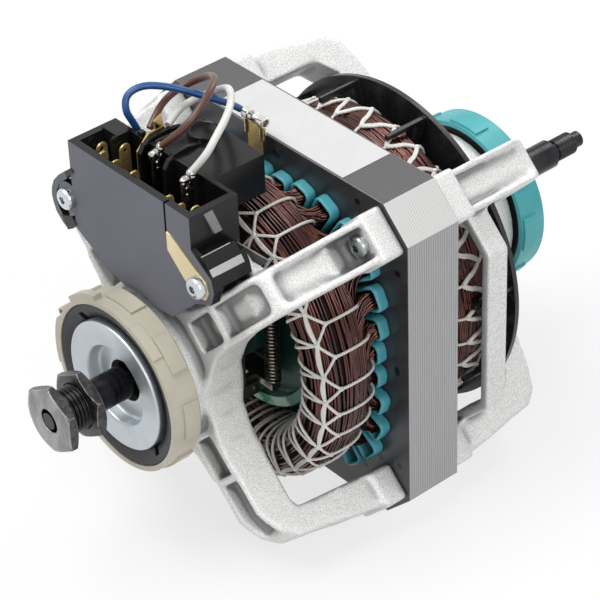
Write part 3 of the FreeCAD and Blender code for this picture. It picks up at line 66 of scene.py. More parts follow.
lens = bpy.data.cameras.new("long_lens")
lens.lens = 157.293
lens.sensor_width = 36.0
camera = placed("long_lens", lens)
camera.matrix_world = aim(turn=math.radians(50.199), height=math.radians(36.085), roll=math.radians(-2.1765),
                          distance=0.994665, aside=-0.002709, raised=-0.006223)
bpy.context.scene.camera = camera
bpy.context.scene.view_settings.view_transform = "Standard"


# Studio.
# The motor stands on its stack on a white table, under large soft lamps in a white room.
def shader_of(name):
    """A new material with its node tree and its surface shader."""
    material = bpy.data.materials.new(name)
    material.use_nodes = True
    tree = material.node_tree
    return material, tree, tree.nodes["Principled BSDF"]


def add_node(tree, kind, **settings):
    """A shader node, with its own settings or its inputs given by name."""
    node = tree.nodes.new("ShaderNode" + kind)
    for name, value in settings.items():
        if hasattr(node, name):
            setattr(node, name, value)
        else:
            node.inputs[name.replace("_", " ")].default_value = value
    return node


def give(tree, socket, value):
    """Gives a socket a number, a plain colour or another socket to read."""
    if isinstance(value, (int, float)):
        socket.default_value = value
    elif isinstance(value, tuple):
        socket.default_value = (*value, 1.0)
    else:
        tree.links.new(value, socket)


def feed(tree, node, **inputs):
    """Gives a node's inputs, named with underscores, their values."""
    for name, value in inputs.items():
        give(tree, node.inputs[name.replace("_", " ")], value)


def worked_out(tree, operation, first, second=0.0):
    """One step of arithmetic on sockets or numbers."""
    step = add_node(tree, "Math", operation=operation)
    for socket, value in zip(step.inputs, (first, second)):
        give(tree, socket, value)
    return step.outputs[0]


def spread(tree, factor, low, high, start=0.3, end=0.7):
    """The factor's part from start to end, stretched to run from low to high."""
    stretch = add_node(tree, "MapRange")
    feed(tree, stretch, Value=factor, From_Min=start, From_Max=end, To_Min=low, To_Max=high)
    return stretch.outputs["Result"]


def seen_white(tree):
    """1 where the camera looks at a surface straight, in a reflection or through glass."""
    rays = add_node(tree, "LightPath").outputs
    direct = worked_out(tree, "MAXIMUM", rays["Is Camera Ray"], rays["Is Glossy Ray"])
    return worked_out(tree, "MAXIMUM", direct, rays["Is Transmission Ray"])


ROOM_LIGHT = 0.34
TABLE_GLOW = 0.72
room = bpy.data.worlds.new("white_room")
room.use_nodes = True
tree = room.node_tree
feed(tree, tree.nodes["Background"], Color=(1.0, 1.0, 1.0),
     Strength=spread(tree, seen_white(tree), ROOM_LIGHT, 1.0, start=0.0, end=1.0))
bpy.context.scene.world = room

TABLE_REACH = 3.0
TABLE_LEVEL = -0.0702
table_mesh = bpy.data.meshes.new("table")
table_points = [(TABLE_REACH * x, TABLE_REACH * y, TABLE_LEVEL)
                for x, y in ((-1, -1), (1, -1), (1, 1), (-1, 1))]
table_mesh.from_pydata(table_points, [], [(0, 1, 2, 3)])
table = placed("table", table_mesh)
white_table, tree, shader = shader_of("white_table")
feed(tree, shader, Base_Color=(0.86, 0.86, 0.86), Roughness=0.9)
glow = add_node(tree, "Emission", Strength=1.0)
both = add_node(tree, "MixShader")
for source, socket in ((worked_out(tree, "MULTIPLY", seen_white(tree), TABLE_GLOW), both.inputs[0]),
                       (shader.outputs[0], both.inputs[1]), (glow.outputs[0], both.inputs[2]),
                       (both.outputs[0], tree.nodes["Material Output"].inputs["Surface"])):
    tree.links.new(source, socket)
table_mesh.materials.append(white_table)

for name, place, width, power in (("lamp_above", (-0.35, -0.5, 1.5), 1.0, 21.0),
                                  ("lamp_right", (1.3, -0.3, 0.9), 0.7, 7.0),
                                  ("lamp_behind", (-0.3, 1.3, 1.1), 0.8, 8.0)):
    lamp = bpy.data.lights.new(name, "AREA")
    lamp.shape = "SQUARE"
    lamp.size = width
    lamp.energy = power
    towards = Vector(place).to_track_quat("Z", "Y").to_matrix().to_4x4()
    placed(name, lamp).matrix_world = Matrix.Translation(place) @ towards


# Stator stack.
# About fifty stamped sheets of silicon steel, pressed together. The cut edges show as fine lines
# round the sides: painted darker on top and below as painted shade, lighter on the left and right as painted
# light, bright where the corners are ground.
# The end sheets are dark with oxide, and small punched holes hold them; these are painted as near-black discs,
# painted shade for the holes' insides.
def grain(tree, scale, detail=4.0, stretch=(1.0, 1.0, 1.0), roughness=0.5):
    """Noise on the piece's own coordinates, finer with a larger scale."""
    fit = add_node(tree, "Mapping", Scale=stretch)
    noise = add_node(tree, "TexNoise", Scale=scale, Detail=detail, Roughness=roughness)
    feed(tree, fit, Vector=add_node(tree, "TexCoord").outputs["Object"])
    feed(tree, noise, Vector=fit.outputs["Vector"])
    return noise.outputs["Fac"]


def tint(tree, factor, dark, light, low=0.3, high=0.7):
    """A colour from dark to light, as the factor runs from low to high."""
    ramp = add_node(tree, "ValToRGB")
    for stop, position, colour in zip(ramp.color_ramp.elements, (low, high), (dark, light)):
        stop.position = position
        stop.color = (*colour, 1.0)
    feed(tree, ramp, Fac=factor)
    return ramp.outputs["Color"]


def mixed(tree, factor, first, second):
    """Two colours mixed by the factor, each a socket or a plain colour."""
    mix = add_node(tree, "MixRGB")
    feed(tree, mix, Fac=factor, Color1=first, Color2=second)
    return mix.outputs["Color"]


def relief(tree, shader, height, depth, rounding=0.0):
    """Bumps of a given depth in metres, over edges that look rounded by a small radius."""
    bump = add_node(tree, "Bump", Distance=depth)
    feed(tree, bump, Height=height)
    if rounding > 0.0:
        feed(tree, bump, Normal=add_node(tree, "Bevel", samples=6, Radius=rounding).outputs["Normal"])
    feed(tree, shader, Normal=bump.outputs["Normal"])


def worn_edges(tree, radius, start=0.90, end=0.985):
    """1 on edges, 0 on flats: how far the rounded normal turns away from the real one."""
    agree = add_node(tree, "VectorMath", operation="DOT_PRODUCT")
    tree.links.new(add_node(tree, "Bevel", samples=6, Radius=radius).outputs["Normal"], agree.inputs[0])
    tree.links.new(add_node(tree, "NewGeometry").outputs["Normal"], agree.inputs[1])
    return spread(tree, agree.outputs["Value"], 1.0, 0.0, start, end)


def split(tree, vector):
    """The sockets of a vector's X, Y and Z."""
    apart = add_node(tree, "SeparateXYZ")
    feed(tree, apart, Vector=vector)
    return [apart.outputs[axis] for axis in "XYZ"]


def punched(tree, place, holes, size):
    """1 inside round marks on the end sheets: a mark lies where the larger and the smaller of the two
    distances from the shaft's planes are those given, so it repeats in every corner."""
    x, _, z = split(tree, place)
    across, up = worked_out(tree, "ABSOLUTE", x), worked_out(tree, "ABSOLUTE", z)
    larger, smaller = worked_out(tree, "MAXIMUM", across, up), worked_out(tree, "MINIMUM", across, up)
    nearest = 1.0
    for far, near in holes:
        gap = [worked_out(tree, "POWER", worked_out(tree, "SUBTRACT", value, centre), 2.0)
               for value, centre in ((larger, far), (smaller, near))]
        distance = worked_out(tree, "SQRT", worked_out(tree, "ADD", *gap))
        nearest = worked_out(tree, "MINIMUM", distance, nearest)
    return spread(tree, nearest, 1.0, 0.0, size, size * 1.25)


def dress(name, material):
    """Gives a node of the frame its finish."""
    nodes[name].data.materials.clear()
    nodes[name].data.materials.append(material)


stack_steel, tree, shader = shader_of("stack_steel")
place = add_node(tree, "TexCoord").outputs
sideways, along_shaft, upwards = (worked_out(tree, "ABSOLUTE", part) for part in split(tree, place["Normal"]))
sheets = add_node(tree, "TexWave", wave_type="BANDS", bands_direction="Y", Scale=285.0, Distortion=0.5,
                  Detail=1.0)
feed(tree, sheets, Vector=place["Object"])
uneven = grain(tree, 1500.0, stretch=(0.08, 1.0, 0.08))
lines = spread(tree, sheets.outputs["Fac"], 0.0, 1.0, 0.15, 0.8)
# Lined colours for the top and bottom (darker, painted shade), the left and right sides (lighter, painted
# light) and the ground corners.
painted_shade_top, painted_light_sides, ground = (
    mixed(tree, uneven, mixed(tree, lines, low, high), flat) for low, high, flat in (
        ((0.070, 0.070, 0.073), (0.155, 0.155, 0.16), (0.12, 0.12, 0.123)),
        ((0.23, 0.23, 0.238), (0.46, 0.46, 0.468), (0.37, 0.37, 0.378)),
        ((0.53, 0.53, 0.525), (0.62, 0.62, 0.61), (0.59, 0.59, 0.585))))
on_side = spread(tree, sideways, 0.0, 1.0, 0.3, 0.4)
on_corner = worked_out(tree, "MULTIPLY", on_side, spread(tree, upwards, 0.0, 1.0, 0.3, 0.4))
edges = mixed(tree, on_corner, mixed(tree, on_side, painted_shade_top, painted_light_sides), ground)
oxide = tint(tree, grain(tree, 45.0), (0.040, 0.041, 0.045), (0.070, 0.071, 0.077))
# The punched holes are painted near black: painted shade inside them.
marks = punched(tree, place["Object"], ((0.0645, 0.0438), (0.0637, 0.0007), (0.0543, 0.0457)), 0.0012)
end_face = mixed(tree, marks, oxide, (0.004, 0.004, 0.004))
on_face = spread(tree, along_shaft, 0.0, 1.0, 0.6, 0.8)
rubbed = worked_out(tree, "MULTIPLY", worn_edges(tree, 0.0006), 0.45)
edge_gloss = mixed(tree, uneven, (0.22, 0.22, 0.22), (0.40, 0.40, 0.40))
feed(tree, shader, Base_Color=mixed(tree, rubbed, mixed(tree, on_face, edges, end_face), (0.42, 0.42, 0.42)),
     Roughness=mixed(tree, on_face, (0.46, 0.46, 0.46), edge_gloss),
     Metallic=spread(tree, along_shaft, 0.75, 0.35, 0.6, 0.8))
relief(tree, shader, sheets.outputs["Fac"], 0.00005, rounding=0.0004)
dress("stator_core", stack_steel)


# Slot liners.
# Teal polyester film, folded to a U in every slot. Its ends are turned back over the faces of
# the stack as thick rounded cuffs, which keep the film from sliding.
MM = 0.001


def shell(name, grids, material, crease=None, **values):
    """One piece from grids of points (..., rows, columns, 3) in millimetres, joined row by row into quads.
    Doubled points are merged, which closes seams and poles, and faces are turned outwards. Edges sharper than
    crease, in degrees, stay sharp. A value is a number per grid point, kept as an attribute of that name."""
    points, quads, start = [], [], 0
    for grid in grids:
        grid = np.asarray(grid, dtype=float)
        rows, columns = grid.shape[-3:-1]
        count = int(np.prod(grid.shape[:-3], dtype=int))
        corner = np.arange(count * rows * columns).reshape(count, rows, columns) + start
        quads.append(np.stack([corner[:, :-1, :-1], corner[:, 1:, :-1], corner[:, 1:, 1:], corner[:, :-1, 1:]],
                              axis=-1).reshape(-1, 4))
        points.append(grid.reshape(-1, 3) * MM)
        start += count * rows * columns
    points, quads = np.concatenate(points), np.concatenate(quads)
    mesh = bpy.data.meshes.new(name)
    mesh.vertices.add(len(points))
    mesh.vertices.foreach_set("co", points.ravel())
    mesh.loops.add(quads.size)
    mesh.loops.foreach_set("vertex_index", quads.ravel())
    mesh.polygons.add(len(quads))
    mesh.polygons.foreach_set("loop_start", np.arange(len(quads)) * 4)
    mesh.update(calc_edges=True)
    for attribute, numbers in values.items():
        mesh.attributes.new(attribute, "FLOAT", "POINT").data.foreach_set(
            "value", np.concatenate([np.asarray(n, dtype=float).ravel() for n in numbers]))
    work = bmesh.new()
    work.from_mesh(mesh)
    bmesh.ops.remove_doubles(work, verts=work.verts, dist=2e-7)
    bmesh.ops.dissolve_degenerate(work, edges=work.edges, dist=1e-7)
    bmesh.ops.recalc_face_normals(work, faces=work.faces)
    work.to_mesh(mesh)
    work.free()
    mesh.polygons.foreach_set("use_smooth", np.ones(len(mesh.polygons), dtype=bool))
    if crease is not None:
        mesh.set_sharp_from_angle(angle=math.radians(crease))
    mesh.materials.append(material)
    return placed(name, mesh)


def at_angle(angle, radius, aside, along):
    """Points at a radius and a sideways offset from a spoke at the angle, and at a place along the shaft."""
    return np.stack(np.broadcast_arrays(radius * np.cos(angle) - aside * np.sin(angle), along,
                                        radius * np.sin(angle) + aside * np.cos(angle)), axis=-1)


SLOT_COUNT = 32
SLOT_STEP = 2 * math.pi / SLOT_COUNT
TOOTH_WIDTH = 4.0
side_slots = np.array([0.5, 1.5, 2.5, 3.5, -0.5, -1.5, -2.5, -3.5]) * SLOT_STEP
slot_angles = (side_slots + np.arange(4)[:, None] * math.pi / 2).ravel()
slot_floors = np.tile([58.0, 61.5, 65.5, 68.5] * 2, 4)


def slot_half(radius):
    """Half the slot's width: half the pitch at that radius, less half a tooth."""
    return radius * math.tan(SLOT_STEP / 2) - TOOTH_WIDTH / 2


def cuff_path(floor, mouth=47.0, corner=2.2):
    """The U round a slot, mouth to mouth: two sides that widen outwards, two rounded corners, a flat floor.
    Gives sideways and outward places and the outward normal, for all slots at once."""
    floor = floor[:, None]
    sides = np.linspace(0.0, 1.0, 6)[None, :]
    outward = mouth + (floor - corner - mouth) * sides
    turn = np.linspace(0.0, math.pi / 2, 7)[None, 1:]
    round_aside = slot_half(floor - corner) - corner * (1 - np.cos(turn))
    round_out = floor - corner + corner * np.sin(turn)
    aside = np.concatenate([slot_half(outward), round_aside], axis=1)
    out = np.concatenate([outward, round_out], axis=1)
    normal_aside = np.concatenate([np.ones_like(sides) + 0 * floor, np.cos(turn) + 0 * floor], axis=1)
    normal_out = np.concatenate([np.zeros_like(sides) + 0 * floor, np.sin(turn) + 0 * floor], axis=1)
    return (np.concatenate([-aside, aside[:, ::-1]], axis=1), np.concatenate([out, out[:, ::-1]], axis=1),
            np.concatenate([-normal_aside, normal_aside[:, ::-1]], axis=1),
            np.concatenate([normal_out, normal_out[:, ::-1]], axis=1))


cuff_end = np.array([(-0.45, 15.6), (-0.38, 16.1), (-0.1, 16.5), (0.3, 16.6), (0.65, 16.4), (0.85, 16.0),
                     (0.9, 15.5), (0.9, 12.9), (0.8, 12.4), (0.5, 12.25), (-0.08, 12.25)])
cuff_profile = np.concatenate([cuff_end, cuff_end[::-1] * (1, -1), cuff_end[:1]])
aside, out, normal_aside, normal_out = cuff_path(slot_floors)
profile_off, profile_along = cuff_profile[None, :, None, 0], cuff_profile[None, :, None, 1]
cuffs = at_angle(slot_angles[:, None, None], out[:, None, :] + normal_out[:, None, :] * profile_off,
                 aside[:, None, :] + normal_aside[:, None, :] * profile_off, profile_along)
middle = cuffs[:, :, [0, -1]].mean(axis=1, keepdims=True) + 0 * cuffs[:, :, [0, -1]]
cuffs = np.concatenate([middle[:, :, :1], cuffs, middle[:, :, 1:]], axis=2)


def moulded(name, dark, light, roughness, depth=0.00002, scale=900.0, rounding=0.0003, specular=0.5):
    """Moulded plastic or rubber: slightly uneven colour and gloss, with a fine skin."""
    material, tree, shader = shader_of(name)
    skin = grain(tree, scale)
    feed(tree, shader, Base_Color=tint(tree, grain(tree, 60.0), dark, light), Specular_IOR_Level=specular,
         Roughness=spread(tree, skin, roughness - 0.06, roughness + 0.06))
    relief(tree, shader, skin, depth, rounding=rounding)
    return material


teal_film = moulded("teal_film", (0.055, 0.30, 0.36), (0.10, 0.40, 0.47), 0.42, depth=0.00004, scale=700.0,
                    rounding=0.0)
liners = shell("slot_liner_cuffs", [cuffs], teal_film)
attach(liners, "stator")
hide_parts("slot_liners")


# End windings.
# Hundreds of turns of enamelled copper wire, pushed by hand into one thick ring at each end of the
# stack. The outer strands are separate tubes in loose flat bunches, over a solid ring painted near black as
# painted shade between the strands.
def tubes(paths, radius, sides=5, up=None):
    """Round tubes along paths (..., points, 3): at each point a circle across the path, its first
    direction being up made square to the path. Ends are closed with a point."""
    paths = np.asarray(paths, dtype=float)
    run = np.gradient(paths, axis=-2)
    run /= np.linalg.norm(run, axis=-1, keepdims=True)
    up = np.broadcast_to(np.asarray((0.0, 1.0, 0.0) if up is None else up, dtype=float), paths.shape)
    first = up - (up * run).sum(axis=-1, keepdims=True) * run
    first /= np.linalg.norm(first, axis=-1, keepdims=True)
    second = np.cross(run, first)
    turn = np.linspace(0.0, 2 * math.pi, sides + 1)[:, None]
    thick = np.broadcast_to(np.asarray(radius, dtype=float), paths.shape[:-1])[..., None, None]
    circle = np.cos(turn) * first[..., None, :] + np.sin(turn) * second[..., None, :]
    rings = paths[..., None, :] + thick * circle
    ends = np.repeat(paths[..., None, :], sides + 1, axis=-2)
    return np.concatenate([ends[..., :1, :, :], rings, ends[..., -1:, :, :]], axis=-3)


RING_RADIUS = 52.8
RING_HALF_WIDTH = 9.3
RING_START = 18.7
RING_HALF_DEPTH = {-1: 12.3, 1: 10.2}
SQUARENESS = 0.74


def bundle(angle, around, swell=1.0, end=-1):
    """The ring's rounded-square section: at the angle round the shaft, around = 0 is its outer side,
    a quarter turn its far face, a half turn its bore side. Swell scales the section about its middle."""
    half_deep = RING_HALF_DEPTH[end]
    across, deep = np.cos(around), np.sin(around)
    radius = RING_RADIUS + RING_HALF_WIDTH * swell * np.sign(across) * np.abs(across) ** SQUARENESS
    depth = RING_START + half_deep + half_deep * swell * np.sign(deep) * np.abs(deep) ** SQUARENESS
    return at_angle(angle, radius, 0.0, end * depth)


def wander(random, count, angle, waves, size):
    """A smooth random curve for each strand that closes on itself: a few sine waves of random phase."""
    orders = np.arange(1, waves + 1)[None, :, None]
    phases = random.uniform(0, 2 * math.pi, (count, waves, 1))
    sizes = random.normal(0.0, size, (count, waves, 1)) / np.sqrt(orders)
    return (sizes * np.sin(orders * angle[None, None, :] + phases)).sum(axis=1)


SEAM = -2.3
STRAND_RADIUS = 0.53
RISE = (5.2, 5.5)


def strands(end, seed, bunches=13, strands_each=5, steps=120, sides=6):
    """Closed strands round the ring, lying on its surface in bunches that drift and cross a little. They
    start and end at the seam, on the ring's lower left, and leave out the bunch where the hanks rise."""
    random = np.random.default_rng(seed)
    angle = np.linspace(SEAM, 2 * math.pi + SEAM, steps + 1)
    place = (np.arange(strands_each) - (strands_each - 1) / 2) / strands_each
    starts = np.arange(bunches) / bunches * 2 * math.pi
    starts = starts[(starts < RISE[0]) | (starts > RISE[1])]
    count = len(starts) * strands_each
    bunch = starts[:, None, None] + wander(random, len(starts), angle, 5, 0.10)[:, None]
    around = bunch + place[None, :, None] * 2 * math.pi / bunches * 1.02
    around = around.reshape(count, -1) + wander(random, count, angle, 7, 0.024)
    dome = np.tile(0.012 - 0.055 * (2 * place) ** 2, len(starts))[:, None]
    swell = 0.985 + dome + wander(random, count, angle, 6, 0.010)
    shade = np.repeat(random.uniform(0.0, 1.0, count), (steps + 3) * (sides + 1))
    return tubes(bundle(angle, around, swell, end), STRAND_RADIUS, sides=sides), shade


enamelled_copper, tree, shader = shader_of("enamelled_copper")
strand = add_node(tree, "Attribute", attribute_name="strand").outputs["Fac"]
enamel = mixed(tree, strand, (0.030, 0.010, 0.010), (0.115, 0.032, 0.022))
thin = spread(tree, grain(tree, 110.0, detail=3.0), 0.0, 0.35, 0.55, 0.75)
feed(tree, shader, Base_Color=mixed(tree, thin, enamel, (0.36, 0.11, 0.06)), Metallic=0.8,
     Roughness=spread(tree, grain(tree, 300.0), 0.16, 0.26), Coat_Weight=0.5, Coat_Roughness=0.10)
# The solid ring and the slot fill are painted near black: painted shade between the wires.
painted_shade_copper, tree, shader = shader_of("painted_shade_copper")
shade_mottle = grain(tree, 900.0, stretch=(1.0, 0.2, 1.0))
feed(tree, shader, Base_Color=tint(tree, shade_mottle, (0.008, 0.004, 0.003), (0.028, 0.010, 0.008)), Roughness=0.6,
     Specular_IOR_Level=0.1)
relief(tree, shader, grain(tree, 1400.0), 0.0003)

for end, name, seed in ((-1, "front_end_winding", 11), (1, "rear_end_winding", 23)):
    tube_grid, shade = strands(end, seed)
    ring_angle = np.linspace(0.0, 2 * math.pi, 97)[:, None]
    ring_around = np.linspace(0.0, 2 * math.pi, 33)[None, :]
    ring = shell(name + "_heart", [bundle(ring_angle, ring_around, 0.90, end)], painted_shade_copper)
    wires = shell(name + "_strands", [tube_grid], enamelled_copper, strand=[shade])
    for piece in (ring, wires):
        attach(piece, "stator")
    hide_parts(name)


# Coil sides.
# The same wires where they lie in the slots. They come out of each cuff as a hank, fan out and
# bend over to join the ring, towards the middle of the coil that they belong to.
def ease(value, start, end):
    """0 before start, 1 after end, smooth between."""
    part = np.clip((value - start) / (end - start), 0.0, 1.0)
    return part * part * (3 - 2 * part)


INNER_ROW = 10.0
HANK_START = 9.0
CUFF_RUN = 7.2
HANK_RADIUS = 0.50


def hanks(end, seed, steps=20, sides=5):
    """Strands from the slots: straight along the shaft in the cuff, then a quarter of an ellipse over
    to the ring's surface, then along it, sinking until the ring's own strands cover the end. Rows deeper
    in the slot than the inner row bend to the ring's bore side."""
    random = np.random.default_rng(seed)
    per_slot = np.array([(row, place) for row, places in ((0.7, 6), (2.1, 6), (4.2, 4), (6.6, 4), (13.5, 3))
                         for place in np.linspace(-0.86, 0.86, places)])
    slots = np.repeat(np.arange(SLOT_COUNT), len(per_slot))
    row, place = np.tile(per_slot, (SLOT_COUNT, 1)).T
    limit = np.minimum(slot_floors[slots] - 0.9, 63.5)
    start = limit - row
    start_aside = place * (slot_half(start) - 1.2) + random.normal(0, 0.12, len(slots))
    heading = -np.sign((slot_angles[slots] + math.pi / 4) % (math.pi / 2) - math.pi / 4)
    rise = random.uniform(4.0, 15.0, len(slots)) * np.where(row > INNER_ROW, 0.7, 1.0)
    reach = random.uniform(0.24, 0.50, len(slots)) + rise * 0.010
    t = np.linspace(0.0, 1.0, steps)[None, :]
    bend = np.clip((t - 0.2) / 0.42, 0.0, 1.0)
    depth = HANK_START + CUFF_RUN * np.clip(t / 0.2, 0, 1) + rise[:, None] * np.sin(math.pi / 2 * bend)
    swing = reach[:, None] * (1 - np.cos(math.pi / 2 * bend) + math.pi / 2 * np.clip((t - 0.62) / 0.42, 0, 1))
    angle = slot_angles[slots][:, None] + heading[:, None] * swing
    half_deep = RING_HALF_DEPTH[end]
    sink = 1.0 - 0.11 * ease(t, 0.78, 1.0) + random.normal(0, 0.006, (len(slots), 1))
    level = np.clip(np.abs(depth - RING_START - half_deep) / half_deep, 0.0, 0.97)
    lift = RING_HALF_WIDTH * sink * (1 - level ** (1 / SQUARENESS)) ** 0.62
    target = np.where(row[:, None] > INNER_ROW, RING_RADIUS - lift, RING_RADIUS + lift)
    blend = ease(t, 0.16, 0.6)
    radius = start[:, None] * (1 - blend) + target * blend
    aside = start_aside[:, None] * (1 - 0.7 * blend)
    paths = at_angle(angle, radius, aside, end * depth)
    outward = at_angle(angle, 1.0, 0.0, 0.0) + 0 * paths
    shade = np.repeat(random.uniform(0.0, 1.0, len(slots)), (steps + 2) * (sides + 1))
    return tubes(paths, HANK_RADIUS, sides=sides, up=outward), shade


front_hanks, front_shade = hanks(end=-1, seed=31)
rear_hanks, rear_shade = hanks(end=1, seed=47)
FILL_START = 44.0


def rounded(wave):
    """A sine or cosine wave made squarer, so that a circle drawn with it has flat sides."""
    return np.sign(wave) * np.abs(wave) ** 0.4


fill_along = np.array([-15.2, -15.0, 15.0, 15.2])[None, :, None]
fill_size = np.array([0.0, 1.0, 1.0, 0.0])[None, :, None]
fill_turn = np.linspace(0, 2 * math.pi, 17)[None, None, :]
fill_top = np.minimum(slot_floors - 1.2, 63.0)[:, None, None]
fill_radius = (fill_top + FILL_START) / 2 + (fill_top - FILL_START) / 2 * fill_size * rounded(np.cos(fill_turn))
fill_aside = (slot_half(fill_radius) - 1.1) * fill_size * rounded(np.sin(fill_turn))
fill = at_angle(slot_angles[:, None, None], fill_radius, fill_aside, fill_along)
# The fill is painted near black, like the ring: painted shade between the hanks.
slot_fill = shell("coil_sides_heart", [fill], painted_shade_copper)
hank_wires = shell("coil_sides_strands", [front_hanks, rear_hanks], enamelled_copper,
                   strand=[front_shade, rear_shade])
for piece in (slot_fill, hank_wires):
    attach(piece, "stator")
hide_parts("coil_sides")


# Lacing.
# White waxed cord, stitched round each ring through the gaps between the hanks and knotted at every
# one, so that it makes a net of doubled strands with Y-shaped knots on the ring's outer shoulder.
CORD_SWELL = 1.068
CORD_RADIUS = 0.58


def stitches(end, steps=26):
    """For every gap: two strands round the bore side to a knot on the shoulder, one on to an outer knot
    and down between the cuffs, and links to the next knot. Each runs in angle and around as a line. The
    front knots are also linked straight; the rear links are doubled and only zigzag over the outer knots."""
    gap = (np.arange(SLOT_COUNT) * SLOT_STEP)[:, None]
    random = np.random.default_rng(5)
    drift = random.normal(0, 0.018, (SLOT_COUNT, 1))
    knot_level, outer_level = (1.02, 0.42) if end < 0 else (0.46, -0.30)
    knot, knot_on = gap + drift, knot_level + random.normal(0, 0.06, (SLOT_COUNT, 1))
    outer, outer_on = gap - 0.50 * SLOT_STEP + drift, outer_level + random.normal(0, 0.05, (SLOT_COUNT, 1))
    following, following_on = np.roll(knot, 1, axis=0), np.roll(knot_on, 1, axis=0)
    following = following - 2 * math.pi * (following > knot)
    t = np.linspace(0.0, 1.0, steps)[None, :]
    bow = np.sin(math.pi * t)
    runs = []
    for side in (-1, 1):
        spread_out = side * 0.30 * SLOT_STEP * ease(t, 0.0, 0.45)
        runs.append((knot + spread_out + 0.10 * SLOT_STEP * bow, knot_on + (4.25 - knot_on) * t))
        if end < 0:
            runs.append((knot * (1 - t) + following * t + side * 0.004, knot_on * (1 - t) + following_on * t
                         + 0.045 * side * bow + 0.08 * bow))
        doubled = side * (0.05 if end > 0 else 0.0)
        if end > 0 or side > 0:
            runs.append((knot * (1 - t) + outer * t, knot_on * (1 - t) + outer_on * t + doubled))
            runs.append((outer * (1 - t) + following * t, outer_on * (1 - t) + following_on * t + doubled))
    runs.append((outer - 0.02 * SLOT_STEP * t, outer_on + (-1.35 - outer_on) * t))
    cords = []
    for angle, around in runs:
        outward = bundle(angle, around, 1.2, end) - bundle(angle, around, 0.8, end)
        cords.append(tubes(bundle(angle, around, CORD_SWELL, end), CORD_RADIUS, sides=6, up=outward))
    polar = np.linspace(0, math.pi, 7)[None, :, None, None]
    turn = np.linspace(0, 2 * math.pi, 9)[None, None, :, None]
    off_pole = np.sin(polar)
    ball = np.concatenate([off_pole * np.cos(turn), np.cos(polar) + 0 * turn, off_pole * np.sin(turn)], axis=-1)
    for angle, around, size in ((knot, knot_on, 1.15), (outer, outer_on, 0.95)):
        cords.append(bundle(angle, around, CORD_SWELL, end)[:, :, None] + size * ball)
    return cords


waxed_cord, tree, shader = shader_of("waxed_cord")
twist = add_node(tree, "TexWave", wave_type="BANDS", bands_direction="DIAGONAL", Scale=330.0, Distortion=3.0)
feed(tree, twist, Vector=add_node(tree, "TexCoord").outputs["Object"])
feed(tree, shader, Base_Color=mixed(tree, grain(tree, 160.0), (0.60, 0.585, 0.55), (0.80, 0.79, 0.76)),
     Roughness=0.62, Sheen_Weight=0.2)
relief(tree, shader, twist.outputs["Fac"], 0.00012)
for end, name in ((-1, "front_lacing"), (1, "rear_lacing")):
    cord = shell(name + "_cord", stitches(end), waxed_cord)
    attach(cord, "stator")
    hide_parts(name)


# End frames.
# Two aluminium die castings, each a bearing hub on four channel-shaped arms that end in feet on the
# stack's corners. They are blasted, so the skin is a bright fine sparkle with softened edges; their pockets are
# painted darker as painted shade.
VOXEL = 0.00085
HUB_FACE = 0.0858
CAP_ROOM = 0.0275


def merged_copy(mesh, name):
    """A new object with a copy of a mesh, its doubled points merged."""
    piece = placed(name, mesh.copy())
    work = bmesh.new()
    work.from_mesh(piece.data)
    bmesh.ops.remove_doubles(work, verts=work.verts, dist=1e-6)
    work.to_mesh(piece.data)
    work.free()
    return piece


def applied(piece):
    """Replaces a piece's mesh by the one that its modifiers make."""
    whole = bpy.data.meshes.new_from_object(piece.evaluated_get(bpy.context.evaluated_depsgraph_get()))
    piece.modifiers.clear()
    piece.data = whole
    whole.name = piece.name
    return whole


def softened(node, name, passes=2, corner_passes=22, hollow_passes=34):
    """A copy of a casting, remeshed evenly and smoothed, so that its edges are round. Its outer corners,
    far from the shaft and towards the hub's end, are smoothed more. The face of its hub, hidden by the dust
    cap, is set back to make room for the cap's bowl. The attribute hollow says how far
    further smoothing would move each point outwards: high in pockets, low on edges."""
    piece = merged_copy(nodes[node].data, name)
    even = piece.modifiers.new("even", "REMESH")
    even.mode = "VOXEL"
    even.voxel_size = VOXEL
    even.use_smooth_shade = True
    whole = applied(piece)
    points = np.empty(len(whole.vertices) * 3)
    whole.vertices.foreach_get("co", points)
    points = points.reshape(-1, 3)
    pairs = np.empty(len(whole.edges) * 2, dtype=int)
    whole.edges.foreach_get("vertices", pairs)
    one, other = pairs.reshape(-1, 2).T
    count = np.bincount(pairs, minlength=len(points))[:, None]
    far_out = np.clip((np.hypot(points[:, 0], points[:, 2]) - 0.070) / 0.006, 0, 1)
    soft = far_out * np.clip((np.abs(points[:, 1]) - 0.036) / 0.010, 0, 1)

    def smoothed(points, share, passes, pull=0.6):
        """The points moved towards the middle of their neighbours, in passes, by each point's share."""
        for _ in range(passes):
            total = np.stack([np.bincount(one, points[other, k], len(points))
                              + np.bincount(other, points[one, k], len(points)) for k in range(3)], axis=1)
            points = points + pull * share[:, None] * (total / count - points)
        return points

    points = smoothed(smoothed(points, np.ones_like(soft), passes), soft, corner_passes)
    under_cap = np.hypot(points[:, 0], points[:, 2]) < CAP_ROOM
    points[:, 1] = np.where(under_cap, np.clip(points[:, 1], -HUB_FACE, HUB_FACE), points[:, 1])
    whole.vertices.foreach_set("co", points.ravel())
    whole.update()
    normals = np.empty(len(points) * 3)
    whole.vertices.foreach_get("normal", normals)
    further = smoothed(points, np.ones_like(soft), hollow_passes) - points
    hollow = (further * normals.reshape(-1, 3)).sum(axis=1) / MM
    share = np.clip(0.5 + 0.5 * hollow, 0, 1)
    whole.attributes.new("hollow", "FLOAT", "POINT").data.foreach_set("value", share)
    return piece


